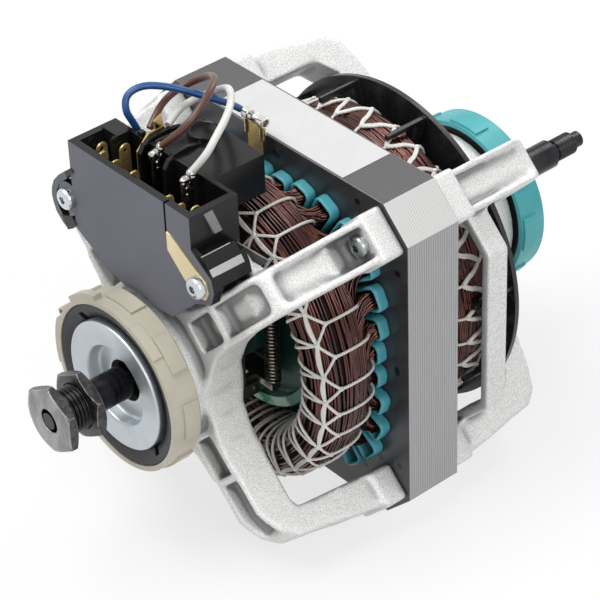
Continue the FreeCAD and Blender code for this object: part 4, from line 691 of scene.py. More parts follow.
blasted_aluminium, tree, shader = shader_of("blasted_aluminium")
sparkle = grain(tree, 2300.0, detail=3.0, roughness=0.7)
skin = mixed(tree, spread(tree, sparkle, 0.0, 1.0, 0.35, 0.65), (0.49, 0.49, 0.485), (0.94, 0.94, 0.93))
blasted = mixed(tree, spread(tree, grain(tree, 35.0), 0.0, 0.2), skin, (0.56, 0.56, 0.555))
# Where hollow is high, in pockets, the colour is painted dark grey: painted shade.
hollow = add_node(tree, "Attribute", attribute_name="hollow").outputs["Fac"]
painted_pocket_shade = mixed(tree, sparkle, (0.08, 0.08, 0.08), (0.26, 0.26, 0.26))
feed(tree, shader, Base_Color=mixed(tree, spread(tree, hollow, 0.0, 0.80, 0.53, 0.72), blasted, painted_pocket_shade),
     Roughness=spread(tree, sparkle, 0.42, 0.62), Metallic=0.55)
relief(tree, shader, sparkle, 0.00013, rounding=0.0013)
for name in ("front_end_frame", "rear_end_frame"):
    casting = softened(name, name + "_casting")
    casting.data.materials.clear()
    casting.data.materials.append(blasted_aluminium)
    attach(casting, "stator")
    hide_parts(name)


# Frame bolts.
# Four long zinc-plated bolts, front foot to rear foot through the stack. Their pan heads have a
# six-lobed recess and lie in the ends of the arms' channels.
def pan_head(across, up, seat, end, width, height, columns=60):
    """A domed head, turned about the shaft's direction: profile from the seat up a straight rim and over
    the dome, then down a recess whose radius waves six times round."""
    turn = np.linspace(0.0, 2 * math.pi, columns + 1)[None, :]
    lobes = 0.36 * width * (1 + 0.13 * np.cos(6 * turn))
    rim = [(1.0, 0.0), (1.0, 0.45), (0.985, 0.62), (0.93, 0.78), (0.82, 0.90), (0.66, 0.98), (0.52, 1.0)]
    radius = [0.0 * turn] + [width * r + 0 * turn for r, _ in rim]
    radius += [lobes * 1.04, lobes, lobes * 0.95, 0 * turn]
    level = [0.0, *(h for _, h in rim), 1.0, 0.94, 0.45, 0.42]
    radius = np.stack([r[0] for r in radius])
    along = seat + end * height * np.array(level)[:, None] + 0 * radius
    return at_angle(turn, radius, 0.0, along) + (across, 0.0, up)


def metal(name, dark, light, roughness, scale=900.0, depth=0.00002, rounding=0.0002, metallic=1.0, **stretch):
    """Bare or plated metal: uneven brightness, uneven gloss and a fine skin."""
    material, tree, shader = shader_of(name)
    skin = grain(tree, scale, **stretch)
    feed(tree, shader, Base_Color=tint(tree, grain(tree, scale * 0.1), dark, light), Metallic=metallic,
         Roughness=spread(tree, skin, roughness - 0.08, roughness + 0.08))
    relief(tree, shader, skin, depth, rounding=rounding)
    return material


bolt_zinc = metal("bolt_zinc", (0.30, 0.335, 0.335), (0.46, 0.49, 0.48), 0.30, depth=0.00008)
BOLT_CORNER = 57.30
HEAD_SEAT = -22.2
bolt_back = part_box("frame_bolts")[1].y / MM
grids = []
for across in (-BOLT_CORNER, BOLT_CORNER):
    for up in (-BOLT_CORNER, BOLT_CORNER):
        shank = [(across, y, up) for y in (HEAD_SEAT - 0.2, HEAD_SEAT - 0.1, bolt_back - 1, bolt_back)]
        grids.append(pan_head(across, up, HEAD_SEAT, end=-1, width=4.3, height=3.4))
        grids.append(tubes(shank, 2.4, sides=20, up=(1, 0, 0)))
bolts = shell("frame_bolts_torx", grids, bolt_zinc, crease=35)
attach(bolts, "stator")
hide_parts("frame_bolts")


# Bearings and mounts.
# At each end a bronze bush lies in the hub, and a nylon washer takes the rotor's thrust. Round the nose
# is a black rubber ring that the machine's cradle grips through a plastic ring with lugs.
for name in ("front_bearing", "rear_bearing"):
    dress(name, metal("sintered_bronze", (0.40, 0.24, 0.11), (0.52, 0.33, 0.16), 0.5, 1500.0))
for name in ("front_thrust_washer", "rear_thrust_washer"):
    dress(name, moulded("nylon_washer", (0.10, 0.10, 0.09), (0.16, 0.16, 0.15), 0.5))
black_rubber = moulded("black_rubber", (0.008, 0.008, 0.010), (0.016, 0.016, 0.019), 0.42, depth=0.00005,
                       rounding=0.0005, specular=0.35)
dress("rear_rubber_ring", black_rubber)
beige_nylon = moulded("beige_nylon", (0.43, 0.40, 0.32), (0.52, 0.485, 0.395), 0.42, rounding=0.0004)
dress("front_mount_ring", beige_nylon)
dress("rear_mount_ring", moulded("teal_nylon", (0.045, 0.33, 0.36), (0.075, 0.41, 0.44), 0.42, rounding=0.0004))


# Dust caps.
# Pressed from zinc-plated sheet, one in each hub's nose: a rolled rim, a flat ring, and a deep bowl with
# a raised neck round the shaft. Under each lies a felt washer that feeds oil to the bush.
def turned(profile, columns=64, ridge=None):
    """A lathe shape about the shaft: rows are (radius, along) points. A ridge adds to the radius
    as a function of angle and place."""
    radius, along = np.array(profile, dtype=float).T[:, :, None]
    turn = np.linspace(0.0, 2 * math.pi, columns + 1)[None, :]
    radius = radius + 0 * turn if ridge is None else radius + ridge(turn, along)
    return at_angle(turn, radius, 0.0, along)


cap_zinc = metal("cap_zinc", (0.50, 0.54, 0.57), (0.60, 0.64, 0.67), 0.40, 160.0, depth=0.000004, rounding=0.0,
                 metallic=0.85)
CAP_RIM = 92.5
CAP_ROWS = [(8.2, 6.4), (8.2, 5.4), (8.35, 5.1), (8.8, 5.0), (9.4, 5.1), (10.4, 5.25), (12.6, 5.4),
            (14.2, 5.45), (14.8, 5.35), (15.2, 5.0), (15.45, 4.4), (15.9, 1.5), (16.05, 0.8), (16.4, 0.4),
            (16.9, 0.25), (23.8, 0.25), (24.5, 0.12), (25.0, 0.0), (25.45, 0.06), (25.75, 0.35),
            (25.8, 0.9), (25.8, 2.9), (25.3, 2.9), (25.2, 1.2), (17.5, 1.2), (16.9, 1.6), (16.4, 5.0),
            (15.8, 6.0), (14.8, 6.4), (8.2, 6.4)]
for end, name in ((-1, "front_dust_cap"), (1, "rear_dust_cap")):
    cap_rows = [(radius, end * (CAP_RIM - depth)) for radius, depth in CAP_ROWS]
    cap = shell(name + "_pressing", [turned(cap_rows, 96)], cap_zinc)
    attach(cap, "stator")
    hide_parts(name)

oiled_felt = moulded("oiled_felt", (0.22, 0.20, 0.15), (0.34, 0.31, 0.25), 0.9, depth=0.0003, scale=1500.0)
FELT_ROWS = [(8.4, 85.9), (14.9, 85.9), (14.9, 83.8), (8.4, 83.8), (8.4, 85.9)]
for end, name in ((-1, "front_felt"), (1, "rear_felt")):
    felt_rows = [(radius, end * along) for radius, along in FELT_ROWS]
    felt = shell(name + "_washer", [turned(felt_rows, 48)], oiled_felt, crease=30)
    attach(felt, "stator")
    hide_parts(name)


# Shaft and belt end.
# Blackened steel, ground bright where it runs in the bushes. The front carries a threaded stub
# with an outer nut and a jam nut; the tail is stepped down to a thread and a pilot.
def thread(start, end, pitch, depth):
    """Ridge of a screw thread: a triangle wave of place less turn, flat on top, fading out at both ends."""
    def ridge(turn, along):
        phase = (along / pitch - turn / (2 * math.pi)) % 1.0
        wave = np.clip(1.25 - np.abs(phase - 0.5) * 2.9, 0.0, 1.0)
        return (wave - 1.0) * depth * np.clip(np.minimum(along - start, end - along) / 0.6, 0.0, 1.0)
    return ridge


def hex_nut(front, back, flats, hole):
    """A hexagon whose corners a cone has cut at both faces: the flank starts lower where it is further out."""
    turn = np.linspace(0.0, 2 * math.pi, 73)
    flank = flats / 2 / np.cos((turn + math.pi / 6) % (math.pi / 3) - math.pi / 6)
    cone = flats / 2 * 0.985
    drop = (flank - cone) * 0.55
    rows = [(hole, front + 0.5), (hole + 0.6, front), (cone - 0.4, front), (cone, front + 0.1),
            (flank, front + drop), (flank, back - drop), (cone, back - 0.1), (cone - 0.4, back),
            (hole + 0.6, back), (hole, back - 0.5), (hole, front + 0.5)]
    return np.stack([at_angle(turn, radius, 0.0, along) for radius, along in rows])


black_steel = metal("black_steel", (0.022, 0.022, 0.024), (0.05, 0.05, 0.053), 0.26, 700.0, rounding=0.0004,
                    stretch=(0.1, 1.0, 0.1))
nut_steel, tree, shader = shader_of("nut_steel")
OUTER_END = -0.1212
scale_skin = grain(tree, 420.0, detail=6.0, roughness=0.65)
phosphate = tint(tree, scale_skin, (0.030, 0.030, 0.032), (0.125, 0.125, 0.130))
rubbed = worked_out(tree, "MULTIPLY", worn_edges(tree, 0.0006, 0.90, 0.99),
                    spread(tree, scale_skin, 0.3, 1.0, 0.4, 0.6))
along_shaft = split(tree, add_node(tree, "TexCoord").outputs["Object"])[1]
scratches = spread(tree, grain(tree, 260.0, detail=5.0, stretch=(1.0, 1.0, 0.35)), 0.55, 1.0, 0.36, 0.55)
scuffed_end = worked_out(tree, "MULTIPLY", worked_out(tree, "LESS_THAN", along_shaft, OUTER_END), scratches)
scuffed = mixed(tree, scuffed_end, phosphate, (0.34, 0.34, 0.35))
feed(tree, shader, Base_Color=mixed(tree, rubbed, scuffed, (0.46, 0.45, 0.44)), Metallic=0.9,
     Roughness=spread(tree, scale_skin, 0.28, 0.46))
relief(tree, shader, scale_skin, 0.0001, rounding=0.0004)
dress("rotor_shaft", black_steel)


def stub_ridge(turn, along):
    """The stub's thread, on its outer rows only: the first two and the last three close the sleeve."""
    row = np.arange(len(along))[:, None]
    return np.where((row > 1) & (row < len(along) - 3), thread(-118.3, -102.7, 1.6, 0.85)(turn, along), 0.0)


def tail_ridge(turn, along):
    """The tail's thread, between its two end faces."""
    return np.where((along > 133.1) & (along < 142.35), thread(133.0, 142.4, 1.15, 0.42)(turn, along), 0.0)


stub_rows = [(6.4, -117.5), (7.9, -117.5)] + [(8.75, y) for y in np.arange(-117.5, -103.49, 0.14)]
stub_rows += [(7.9, -103.5), (6.4, -103.5), (6.4, -117.5)]
stub = shell("threaded_stub_helix", [turned(stub_rows, ridge=stub_ridge)], black_steel)
tail_rows = [(4.2, 133.0)] + [(4.72, y) for y in np.arange(133.2, 142.3, 0.12)]
tail_rows += [(4.2, 142.4), (4.0, 142.4), (4.0, 133.0), (4.2, 133.0)]
tail = shell("tail_thread_helix", [turned(tail_rows, ridge=tail_ridge)], black_steel)
outer_nut = shell("outer_nut_hexagon", [hex_nut(-122.0, -117.5, flats=24.2, hole=4.7)], nut_steel, crease=30)
jam_nut = shell("jam_nut_hexagon", [hex_nut(-109.3, -104.9, flats=24.2, hole=8.8)], nut_steel, crease=30)
for piece, node, slot in ((stub, "threaded_stub", "nut_steel"), (outer_nut, "outer_nut", "nut_steel"),
                          (jam_nut, "jam_nut", "nut_steel"), (tail, None, "shaft_steel")):
    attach(piece, "rotor")
    if node:
        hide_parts(node)


# Rotor, fan and governor.
# A stack of round sheets with cast aluminium rings runs in the bore. Behind it is a black moulded
# fan; in front are two weights on a pressed plate, and the green nylon collar that they push.
dress("rotor_core", stack_steel)
dress("rotor_end_rings", blasted_aluminium)
dress("cooling_fan", moulded("fan_nylon", (0.007, 0.007, 0.008), (0.014, 0.014, 0.016), 0.30, rounding=0.0006))
for name in ("governor_base", "governor_pins", "upper_weight", "lower_weight"):
    dress(name, metal("governor_steel", (0.16, 0.15, 0.13), (0.26, 0.25, 0.22), 0.36, 800.0))
spring_steel = metal("spring_steel", (0.20, 0.175, 0.15), (0.34, 0.30, 0.26), 0.3, 800.0, rounding=0.0)
dress("governor_springs", spring_steel)
collar_nylon, tree, shader = shader_of("collar_nylon")
flat_place = add_node(tree, "Mapping", Scale=(1.0, 0.0, 1.0))
feed(tree, flat_place, Vector=add_node(tree, "TexCoord").outputs["Object"])
off_axis = add_node(tree, "VectorMath", operation="LENGTH")
feed(tree, off_axis, Vector=flat_place.outputs["Vector"])
patches = spread(tree, grain(tree, 90.0, detail=5.0), 0.0, 1.0, 0.44, 0.56)
rim_green = mixed(tree, patches, (0.015, 0.20, 0.12), (0.46, 0.66, 0.58))
on_rim = spread(tree, off_axis.outputs["Value"], 0.0, 1.0, 0.0325, 0.0345)
feed(tree, shader, Base_Color=mixed(tree, on_rim, (0.008, 0.060, 0.045), rim_green), Roughness=0.4)
relief(tree, shader, grain(tree, 900.0), 0.00003, rounding=0.0004)
dress("governor_collar", collar_nylon)


# Start switch.
# A black moulded box with open wells, bolted to two bosses of the front frame, and a closed rear half.
# Its front face is painted bluish grey and rougher: a painted reflection of the bright room on the black
# plastic. The other faces are glossy, with edges that catch the light.
def slab(top, drop):
    """A solid under a flat many-cornered top: the same corners moved by the drop, closed to their middles."""
    top = np.array([*top, top[0]], dtype=float)
    low = top + np.array(drop, dtype=float)
    return np.stack([top[:-1].mean(axis=0) + 0 * top, top, low, low[:-1].mean(axis=0) + 0 * low])


def prism(outline, start, end, axis="x"):
    """A solid with flat ends: the outline's points, joined to themselves at start and end along the axis,
    closed by rows that shrink to the outline's middle."""
    outline = np.array([*outline, outline[0]], dtype=float)
    rim = outline[None].repeat(4, axis=0)
    rim[[0, 3]] = outline[:-1].mean(axis=0)
    along = np.array([start, start, end, end], dtype=float)[:, None] + 0 * rim[..., 0]
    order = {"x": (along, rim[..., 0], rim[..., 1]), "y": (rim[..., 0], along, rim[..., 1]),
             "z": (rim[..., 0], rim[..., 1], along)}[axis]
    return np.stack(order, axis=-1)


def carved(mesh, name, cutters):
    """A copy of a mesh, merged, with prisms cut away from it."""
    piece = merged_copy(mesh, name)
    tool = shell(name + "_tool", cutters, black_gloss)
    cut = piece.modifiers.new("cut", "BOOLEAN")
    cut.operation = "DIFFERENCE"
    cut.solver = "EXACT"
    cut.object = tool
    whole = applied(piece)
    bpy.data.objects.remove(tool)
    whole.polygons.foreach_set("use_smooth", np.zeros(len(whole.polygons), dtype=bool))
    return piece


black_gloss = moulded("black_gloss", (0.006, 0.006, 0.007), (0.012, 0.012, 0.013), 0.20, depth=0.000006,
                      rounding=0.0004, specular=0.28)
switch_black, tree, shader = shader_of("switch_black")
PLATE_FACE = -0.0783
place = add_node(tree, "TexCoord").outputs
outward, where = split(tree, place["Normal"])[1], split(tree, place["Object"])[1]
front_face = worked_out(tree, "MULTIPLY", spread(tree, outward, 1.0, 0.0, -0.98, -0.80),
                        worked_out(tree, "LESS_THAN", where, PLATE_FACE))
cloud = grain(tree, 40.0)
glossy_side = tint(tree, cloud, (0.006, 0.006, 0.007), (0.013, 0.013, 0.014))
# The front face is painted bluish grey: a painted reflection of the room on the black plastic.
front_painted_reflection = tint(tree, cloud, (0.120, 0.124, 0.150), (0.138, 0.142, 0.170))
feed(tree, shader, Base_Color=mixed(tree, front_face, glossy_side, front_painted_reflection), Specular_IOR_Level=0.26,
     Roughness=mixed(tree, front_face, (0.19, 0.19, 0.19), (0.50, 0.50, 0.50)))
relief(tree, shader, grain(tree, 1600.0, detail=2.0), 0.00003, rounding=0.0004)
# Cut away from the housing: the front edges of its two dividers, and the top of its right lobe.
DIVIDER_TOP = [(-76.0, 64.0), (-62.7, 64.0), (-62.7, 79.8), (-60.4, 83.4), (-60.4, 90.0), (-76.0, 90.0)]
LOBE_TOP = [(33.02, 73.0), (33.02, 65.7), (40.25, 66.1), (41.5, 66.8), (41.5, 73.0)]
cut_away = [prism(DIVIDER_TOP, start, end) for start, end in ((-15.52, -13.48), (-1.52, 0.52))]
cut_away.append(prism(LOBE_TOP, -76.2, -60.5, "y"))
housing = carved(nodes["switch_housing"].data, "switch_housing_carved", cut_away)
housing.data.materials.clear()
housing.data.materials.append(switch_black)
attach(housing, "stator")
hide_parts("switch_housing")
for name in ("switch_rear_housing", "switch_lever", "switch_lever_pin"):
    dress(name, black_gloss)


# Switch moulding.
# Small moulded forms on the box: the filled corner of the left well, a post, ribs behind the dividers, the
# knob of the cam on the rear half, a snap lug, ribs and a rounded top on the right lobe, and a thin cast
# fin of the frame behind the lobe. The snap lug and the lobe's ribs are painted grey as painted light;
# the fin is painted dark as painted shade.
KNOB_PLACE = (-4.6, -41.0, 82.9)
KNOB_ROWS = [(0.0, 0.0), (6.1, 0.0), (6.1, 1.9), (5.8, 2.3), (5.3, 2.4), (4.9, 2.1), (0.0, 2.1)]
turn = np.linspace(0.0, 2 * math.pi, 41)[None, :]
radius, level = np.array(KNOB_ROWS).T[:, :, None]
knob = np.stack([radius * np.cos(turn), radius * np.sin(turn), level + 0 * turn], axis=-1) + KNOB_PLACE
CORNER_FILL = [(-32.4, -65.0), (-23.6, -65.0), (-23.6, -60.4), (-25.2, -58.3), (-32.4, -58.3)]
POST = [(-20.6, -58.3), (-18.4, -58.3), (-18.4, -56.2), (-20.6, -56.2)]
LEFT_RIB = [(-58.6, 82.8), (-60.2, 82.8), (-58.4, 84.2), (-50.0, 84.8), (-43.6, 83.6), (-43.6, 82.8)]
RIGHT_RIB = [(-58.6, 82.8), (-60.2, 82.8), (-58.4, 84.2), (-52.0, 84.8), (-45.6, 83.6), (-45.6, 82.8)]
ROUND_TOP = [(33.0, 65.6), (33.0, 67.9), (36.7, 68.4), (38.8, 67.4), (40.9, 65.3), (40.3, 64.9)]
forms = [prism(CORNER_FILL, 57.2, 84.0, "z"), prism(POST, 78.0, 84.6, "z"), prism(LEFT_RIB, -15.5, -13.8),
         prism(RIGHT_RIB, -1.5, 0.1), prism(ROUND_TOP, -77.4, -62.8, "y"), knob]
details = shell("switch_moulded_details", forms, black_gloss, crease=30)
# The snap lug is painted mid grey: painted light on its sloped face.
painted_light_grey = moulded("painted_light_grey", (0.20, 0.20, 0.21), (0.25, 0.25, 0.26), 0.42, depth=0.00003)
# The lobe's two ribs are pale grey: painted highlights of light along its facets.
painted_highlight_grey = moulded("painted_highlight_grey", (0.42, 0.42, 0.43), (0.50, 0.50, 0.51), 0.42, depth=0.00003)
SIDE_RIB = [(41.1, 65.35), (42.85, 62.95), (42.45, 62.6), (40.7, 65.0)]
TOP_RIB = [(36.45, 68.3), (36.7, 68.55), (37.1, 68.4), (36.8, 68.1)]
ribs = [prism(SIDE_RIB, -77.3, -63.2, "y"), prism(TOP_RIB, -77.3, -64.4, "y")]
lobe_ribs = shell("switch_lobe_ribs", ribs, painted_highlight_grey, crease=30)
LUG_TOP = [(33.15, -72.2, 81.9), (33.15, -68.4, 82.1), (34.7, -65.7, 73.3), (34.7, -68.9, 73.2)]
lug = slab(LUG_TOP, drop=(-2.0, 0.0, -0.6))
snap_lug = shell("switch_snap_lug", [lug], painted_light_grey, crease=30)
for piece in (details, snap_lug, lobe_ribs):
    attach(piece, "stator")
# The fin is painted dark grey: painted shade behind the lobe.
fin_painted_shade = metal("fin_aluminium_painted_shade", (0.13, 0.13, 0.13), (0.34, 0.34, 0.34), 0.5, 1500.0, depth=0.0001)
FIN = [(29.6, 64.0), (37.0, 60.0), (46.4, 60.8), (50.7, 65.1)]
fin = shell("front_frame_fin", [prism(FIN, -59.0, -58.3, "y")], fin_painted_shade, crease=30)
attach(fin, "stator")


# Mount ring details.
# The rubber's face slopes down to the cap and has two square notches. The nylon ring round it has
# two thick lugs and a hollow peg on its left, and a low pad at its front edge; all are moulded on.
def arc_block(start, end, inner, outer, front, back):
    """A block bent round the shaft: four-cornered section, turned through the angles, closed ends."""
    turn = np.radians(np.linspace(start, end, 13))[:, None]
    radius = np.array([inner, outer, outer, inner, inner], dtype=float)[None, :] + 0 * turn
    along = np.array([front, front, back, back, front], dtype=float)[None, :] + 0 * turn
    grid = at_angle(turn, radius, 0.0, along)
    ends = [grid[k, :4].mean(axis=0) + 0 * grid[:1] for k in (0, -1)]
    return np.concatenate([ends[0], grid, ends[1]])


NOTCH_RADIUS = 28.0
NOTCH = ((-2.2, -1.7), (1.3, -1.7), (1.3, 1.7), (-2.2, 1.7))
notches = []
for angle in (131.5, -43.5):
    out = np.array([math.cos(math.radians(angle)), math.sin(math.radians(angle))])
    side = np.array([-out[1], out[0]])
    notches.append(prism([NOTCH_RADIUS * out + a * out + b * side for a, b in NOTCH], -93.0, -86.5, "y"))
bearing_rubber = moulded("bearing_rubber", (0.010, 0.010, 0.013), (0.020, 0.020, 0.026), 0.5, depth=0.00005)
ring_rows = [(26.05, -89.3), (27.2, -90.0), (30.4, -91.4), (32.0, -91.6), (32.3, -91.2), (32.3, -80.4),
             (26.05, -80.4), (26.05, -89.3)]
plain = shell("front_rubber_ring_plain", [turned(ring_rows, 96)], bearing_rubber)
rubber = carved(plain.data, "front_rubber_ring_notched", notches)
bpy.data.objects.remove(plain)
rubber.data.polygons.foreach_set("use_smooth", np.ones(len(rubber.data.polygons), dtype=bool))
rubber.data.set_sharp_from_angle(angle=math.radians(30))
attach(rubber, "stator")
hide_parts("front_rubber_ring")
peg_rows = [(0.0, -89.2), (1.1, -89.2), (1.1, -91.8), (1.7, -91.8), (1.9, -91.6), (1.9, -84.0), (0.0, -84.0)]
peg = turned(peg_rows, 24) + np.array([-30.2, 0.0, 16.8])
lugs = [arc_block(104, 133, inner=32.6, outer=36.4, front=-91.8, back=-88.4),
        arc_block(160, 194, inner=32.6, outer=36.2, front=-91.6, back=-87.6), peg,
        arc_block(45, 70, inner=33.0, outer=34.75, front=-91.9, back=-87.6)]
lugs = shell("front_mount_ring_lugs", lugs, beige_nylon, crease=30)
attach(lugs, "stator")


# Spring clip of the switch.
# A curved arm of the front plate that holds it by its left boss, with a black block at each end.
ARM_OUTLINE = [(-38.7, 68.2), (-42.7, 64.9), (-46.4, 60.8), (-48.0, 57.0), (-48.5, 53.8), (-48.0, 51.0),
               (-46.5, 47.2), (-43.1, 44.0), (-39.8, 42.2), (-38.2, 44.0), (-41.6, 46.2), (-44.2, 49.4),
               (-45.5, 52.6), (-45.2, 56.6), (-43.4, 60.2), (-40.4, 63.2), (-37.6, 65.6)]
last = len(ARM_OUTLINE) - 1
arm = [prism([ARM_OUTLINE[corner] for corner in (k, k + 1, last - 1 - k, last - k)], -78.5, -75.6, "y")
       for k in range(last // 2)]
clip = shell("switch_spring_clip", arm, switch_black, crease=30)
blocks = shell("switch_clip_blocks", [
    prism([(-38.7, 68.2), (-34.3, 71.7), (-32.6, 70.6), (-36.8, 66.7)], -78.9, -75.0, "y"),
    prism([(-43.0, 47.4), (-36.4, 49.9), (-34.0, 47.3), (-36.4, 44.6), (-39.8, 42.6)], -78.9, -75.0, "y"),
], black_gloss, crease=30)
for piece in (clip, blocks):
    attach(piece, "stator")


# Switch terminals.
# Brass blades punched from strip, with rounded tops and a locking hole; they stand in the wells for
# push-on connectors. Two are tinned, and hold the leads in solder.
def blade(middle, low, high, width, gauge, hole, facing="x"):
    """A flat blade with a chamfered top: rays from the hole's middle reach the nearest of its edge lines,
    and each row of the closed grid is those rays at one depth, from the hole out and back."""
    centre = high - 2.6
    half = width / 2
    lines = [(0.0, half), (math.pi, half), (-math.pi / 2, centre - low), (math.pi / 2, high - centre)]
    lines += [(side * math.radians(lean) + (math.pi if side < 0 else 0.0), reach)
              for side in (1, -1) for lean, reach in ((28, half + 0.05), (55, half + 0.12))]
    feet = [math.atan2(low - centre, side * half) + 2 * math.pi for side in (1, -1)]
    rays = np.sort(np.concatenate([np.linspace(0, 2 * math.pi, 49)[:-1], feet]))
    rays = np.append(rays, rays[0] + 2 * math.pi)
    towards = np.cos(rays[:, None] - np.array([a for a, _ in lines]))
    distances = np.array([d for _, d in lines])
    reach = np.where(towards > 1e-6, distances / np.maximum(towards, 1e-6), 1e9).min(axis=1)
    inner = np.full_like(reach, hole)
    rows = [(inner, -1.0), (reach - 0.35, -1.0), (reach, -0.35), (reach, 0.35), (reach - 0.35, 1.0),
            (inner, 1.0), (inner, -1.0)]
    out = np.stack([r for r, _ in rows])
    deep = np.array([d for _, d in rows])[:, None] * gauge / 2 + 0 * out
    sideways, upward = out * np.cos(rays), centre + out * np.sin(rays)
    across, along = middle
    if facing == "x":
        return np.stack([across + deep, along + sideways, upward], axis=-1)
    return np.stack([across + sideways, along + deep, upward], axis=-1)


blade_brass = metal("blade_brass", (0.50, 0.36, 0.13), (0.78, 0.60, 0.27), 0.34, 300.0, metallic=0.72)
# Across, along, top and hole of each brass blade.
TABS = [(-29.5, -68.0, 80.0, 1.0), (-22.5, -63.0, 80.5, 0.85), (-25.0, -71.0, 79.6, 0.6),
        (-17.6, -71.0, 79.5, 0.6), (-7.0, -71.2, 80.0, 0.6), (5.5, -72.6, 76.0, 0.6),
        (14.1, -72.6, 80.6, 0.6), (20.6, -72.6, 80.4, 0.6), (26.5, -70.6, 81.4, 0.6)]
WELL_FLOOR = 56.8
grids = [blade((x, y), WELL_FLOOR, top, width=5.0, gauge=0.8, hole=hole) for x, y, top, hole in TABS]
grids += [blade((x, y), 78.9, 83.3, width=4.0, gauge=0.8, hole=0.6, facing="y")
          for x, y in ((-19.4, -53.8), (-15.8, -48.2))]
strip = [(-62.4, 57.2), (-61.6, 57.2), (-61.6, 79.4), (-58.3, 82.7), (-56.6, 84.4), (-49.8, 84.9),
         (-49.8, 85.7), (-57.0, 85.2), (-59.1, 83.1), (-62.4, 79.8)]
grids.append(prism(strip, -16.5, -15.7))
flap = prism([(-54.2, 89.0), (-49.8, 89.4), (-49.8, 84.4)], -16.4, -15.7)
# The flap's upper rear corner is bent aside.
flap[..., 0] -= 0.30 * np.clip(flap[..., 2] + flap[..., 1] - 34.6, 0, None)
grids += [flap, prism([(-54.2, 89.0), (-49.8, 84.4), (-50.4, 84.4), (-53.6, 87.8), (-53.5, 85.4), (-52.2, 84.6),
                       (-54.3, 84.5)], -16.5, -15.9)]
tabs = shell("switch_blades", grids, blade_brass, crease=30)
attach(tabs, "stator")
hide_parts("switch_terminals")


# Solder.
# The brown and the white lead end in tinned blades, under lumps of solder that ran down the blade.
def lump(middle, size, seed, rows=18, columns=28):
    """A ball stretched to three half sizes, swollen and pinched by a few sine waves over its angles."""
    random = np.random.default_rng(seed)
    polar = np.linspace(0.0, math.pi, rows)[:, None]
    turn = np.linspace(0.0, 2 * math.pi, columns + 1)[None, :]
    swell = np.ones((rows, columns + 1))
    for order in range(1, 4):
        for wave in (2, 3):
            round_it = np.sin(order * turn + random.uniform(0, 6.3))
            down_it = np.sin(wave * polar + random.uniform(0, 6.3))
            swell += np.sin(polar) * 0.10 / order * round_it * down_it
    across = np.sin(polar) * np.cos(turn), np.sin(polar) * np.sin(turn), np.cos(polar)
    ball = np.stack(np.broadcast_arrays(*across), axis=-1)
    return np.array(middle) + np.array(size) * ball * swell[..., None]


bright_solder = metal("bright_solder", (0.30, 0.29, 0.27), (0.62, 0.61, 0.58), 0.16, 260.0, depth=0.0003)
tinned = metal("tinned_brass", (0.34, 0.31, 0.24), (0.60, 0.57, 0.50), 0.24, 300.0, depth=0.0001)
grids = [blade((x, y), WELL_FLOOR, top, width=5.0, gauge=0.9, hole=0.7)
         for x, y, top in ((-5.6, -61.6, 83.0), (13.3, -63.6, 81.6))]
held = shell("tinned_blades", grids, tinned, crease=30)
# Place on the joint, half sizes and further seed of each lump; then the line of the bare wire's crimp.
LUMPS = [((0.0, -0.6, 0.0), (1.6, 2.6, 1.7), 0), ((0.3, -1.9, -1.0), (1.3, 1.2, 2.1), 20),
         ((0.4, 0.9, -1.5), (1.1, 1.3, 1.9), 40), ((0.5, -0.3, -3.6), (0.5, 0.8, 0.8), 60),
         ((0.5, -0.2, -6.2), (0.4, 0.7, 0.7), 70), ((0.1, 1.6, 0.9), (1.8, 1.7, 1.6), 80)]
CRIMP = [(0.0, 0.6, 0.6), (0.05, 1.8, 1.4), (0.15, 3.0, 2.3)]
grids = []
for joint, seed in (((-5.6, -61.6, 84.0), 3), ((13.3, -63.6, 82.8), 8)):
    grids += [lump(np.array(joint) + offset, size, seed + more) for offset, size, more in LUMPS]
    grids.append(tubes([np.array(joint) + CRIMP], [1.5, 1.8, 1.75], sides=20, up=(1, 0, 0)))
solder = shell("solder_lumps", grids, bright_solder)
for piece, slot in ((held, "brass"), (solder, "solder")):
    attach(piece, "stator")
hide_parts("solder_joints")


# Switch screws and strap.
# Two zinc-plated screws with six-lobed recesses hold the switch on the frame's bosses. The right one
# also clamps a strip of brass that earths the switch.
screw_zinc = metal("screw_zinc", (0.52, 0.55, 0.58), (0.74, 0.77, 0.80), 0.22, 400.0)
screw_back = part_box("switch_screws")[1].y / MM
SCREW_LEVEL = 57.6
grids = []
for across, seat in ((-37.4, -78.5), (37.4, -79.3)):
    shank = [(across, y, SCREW_LEVEL) for y in (seat - 0.1, seat, screw_back - 0.6, screw_back)]
    grids.append(pan_head(across, SCREW_LEVEL, seat, end=-1, width=4.2, height=3.4))
    grids.append(tubes(shank, 1.6, sides=16, up=(1, 0, 0)))
screws = shell("switch_screws_torx", grids, screw_zinc, crease=35)
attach(screws, "stator")
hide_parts("switch_screws")
strap_brass = metal("strap_brass", (0.60, 0.50, 0.29), (0.78, 0.68, 0.44), 0.36, 200.0, depth=0.000008,
                    rounding=0.0004, metallic=0.85)
dress("ground_strap", strap_brass)
dress("protector_tab", blade_brass)


# Crimped terminal.
# The blue lead ends in a flag terminal of tinned brass: one crimp on the insulation, one on the wire,
# and below them a socket with rolled edges that grips the protector's blade.
def folded(path, gauge, low, high):
    """Sheet of a gauge along a path in plan: the path pushed out by half the gauge to each side, joined at
    its ends, standing from low to high, and closed there along the path."""
    path = np.asarray(path, dtype=float)
    run = np.gradient(path, axis=0)
    side = np.c_[-run[:, 1], run[:, 0]] / np.linalg.norm(run, axis=1)[:, None] * gauge / 2
    loop = np.concatenate([path + side, (path - side)[::-1], (path + side)[:1]])
    middle = np.concatenate([path, path[::-1], path[:1]])
    rows = ((middle, low), (loop, low), (loop, high), (middle, high))
    return np.stack([np.c_[ring, np.full(len(ring), level)] for ring, level in rows])


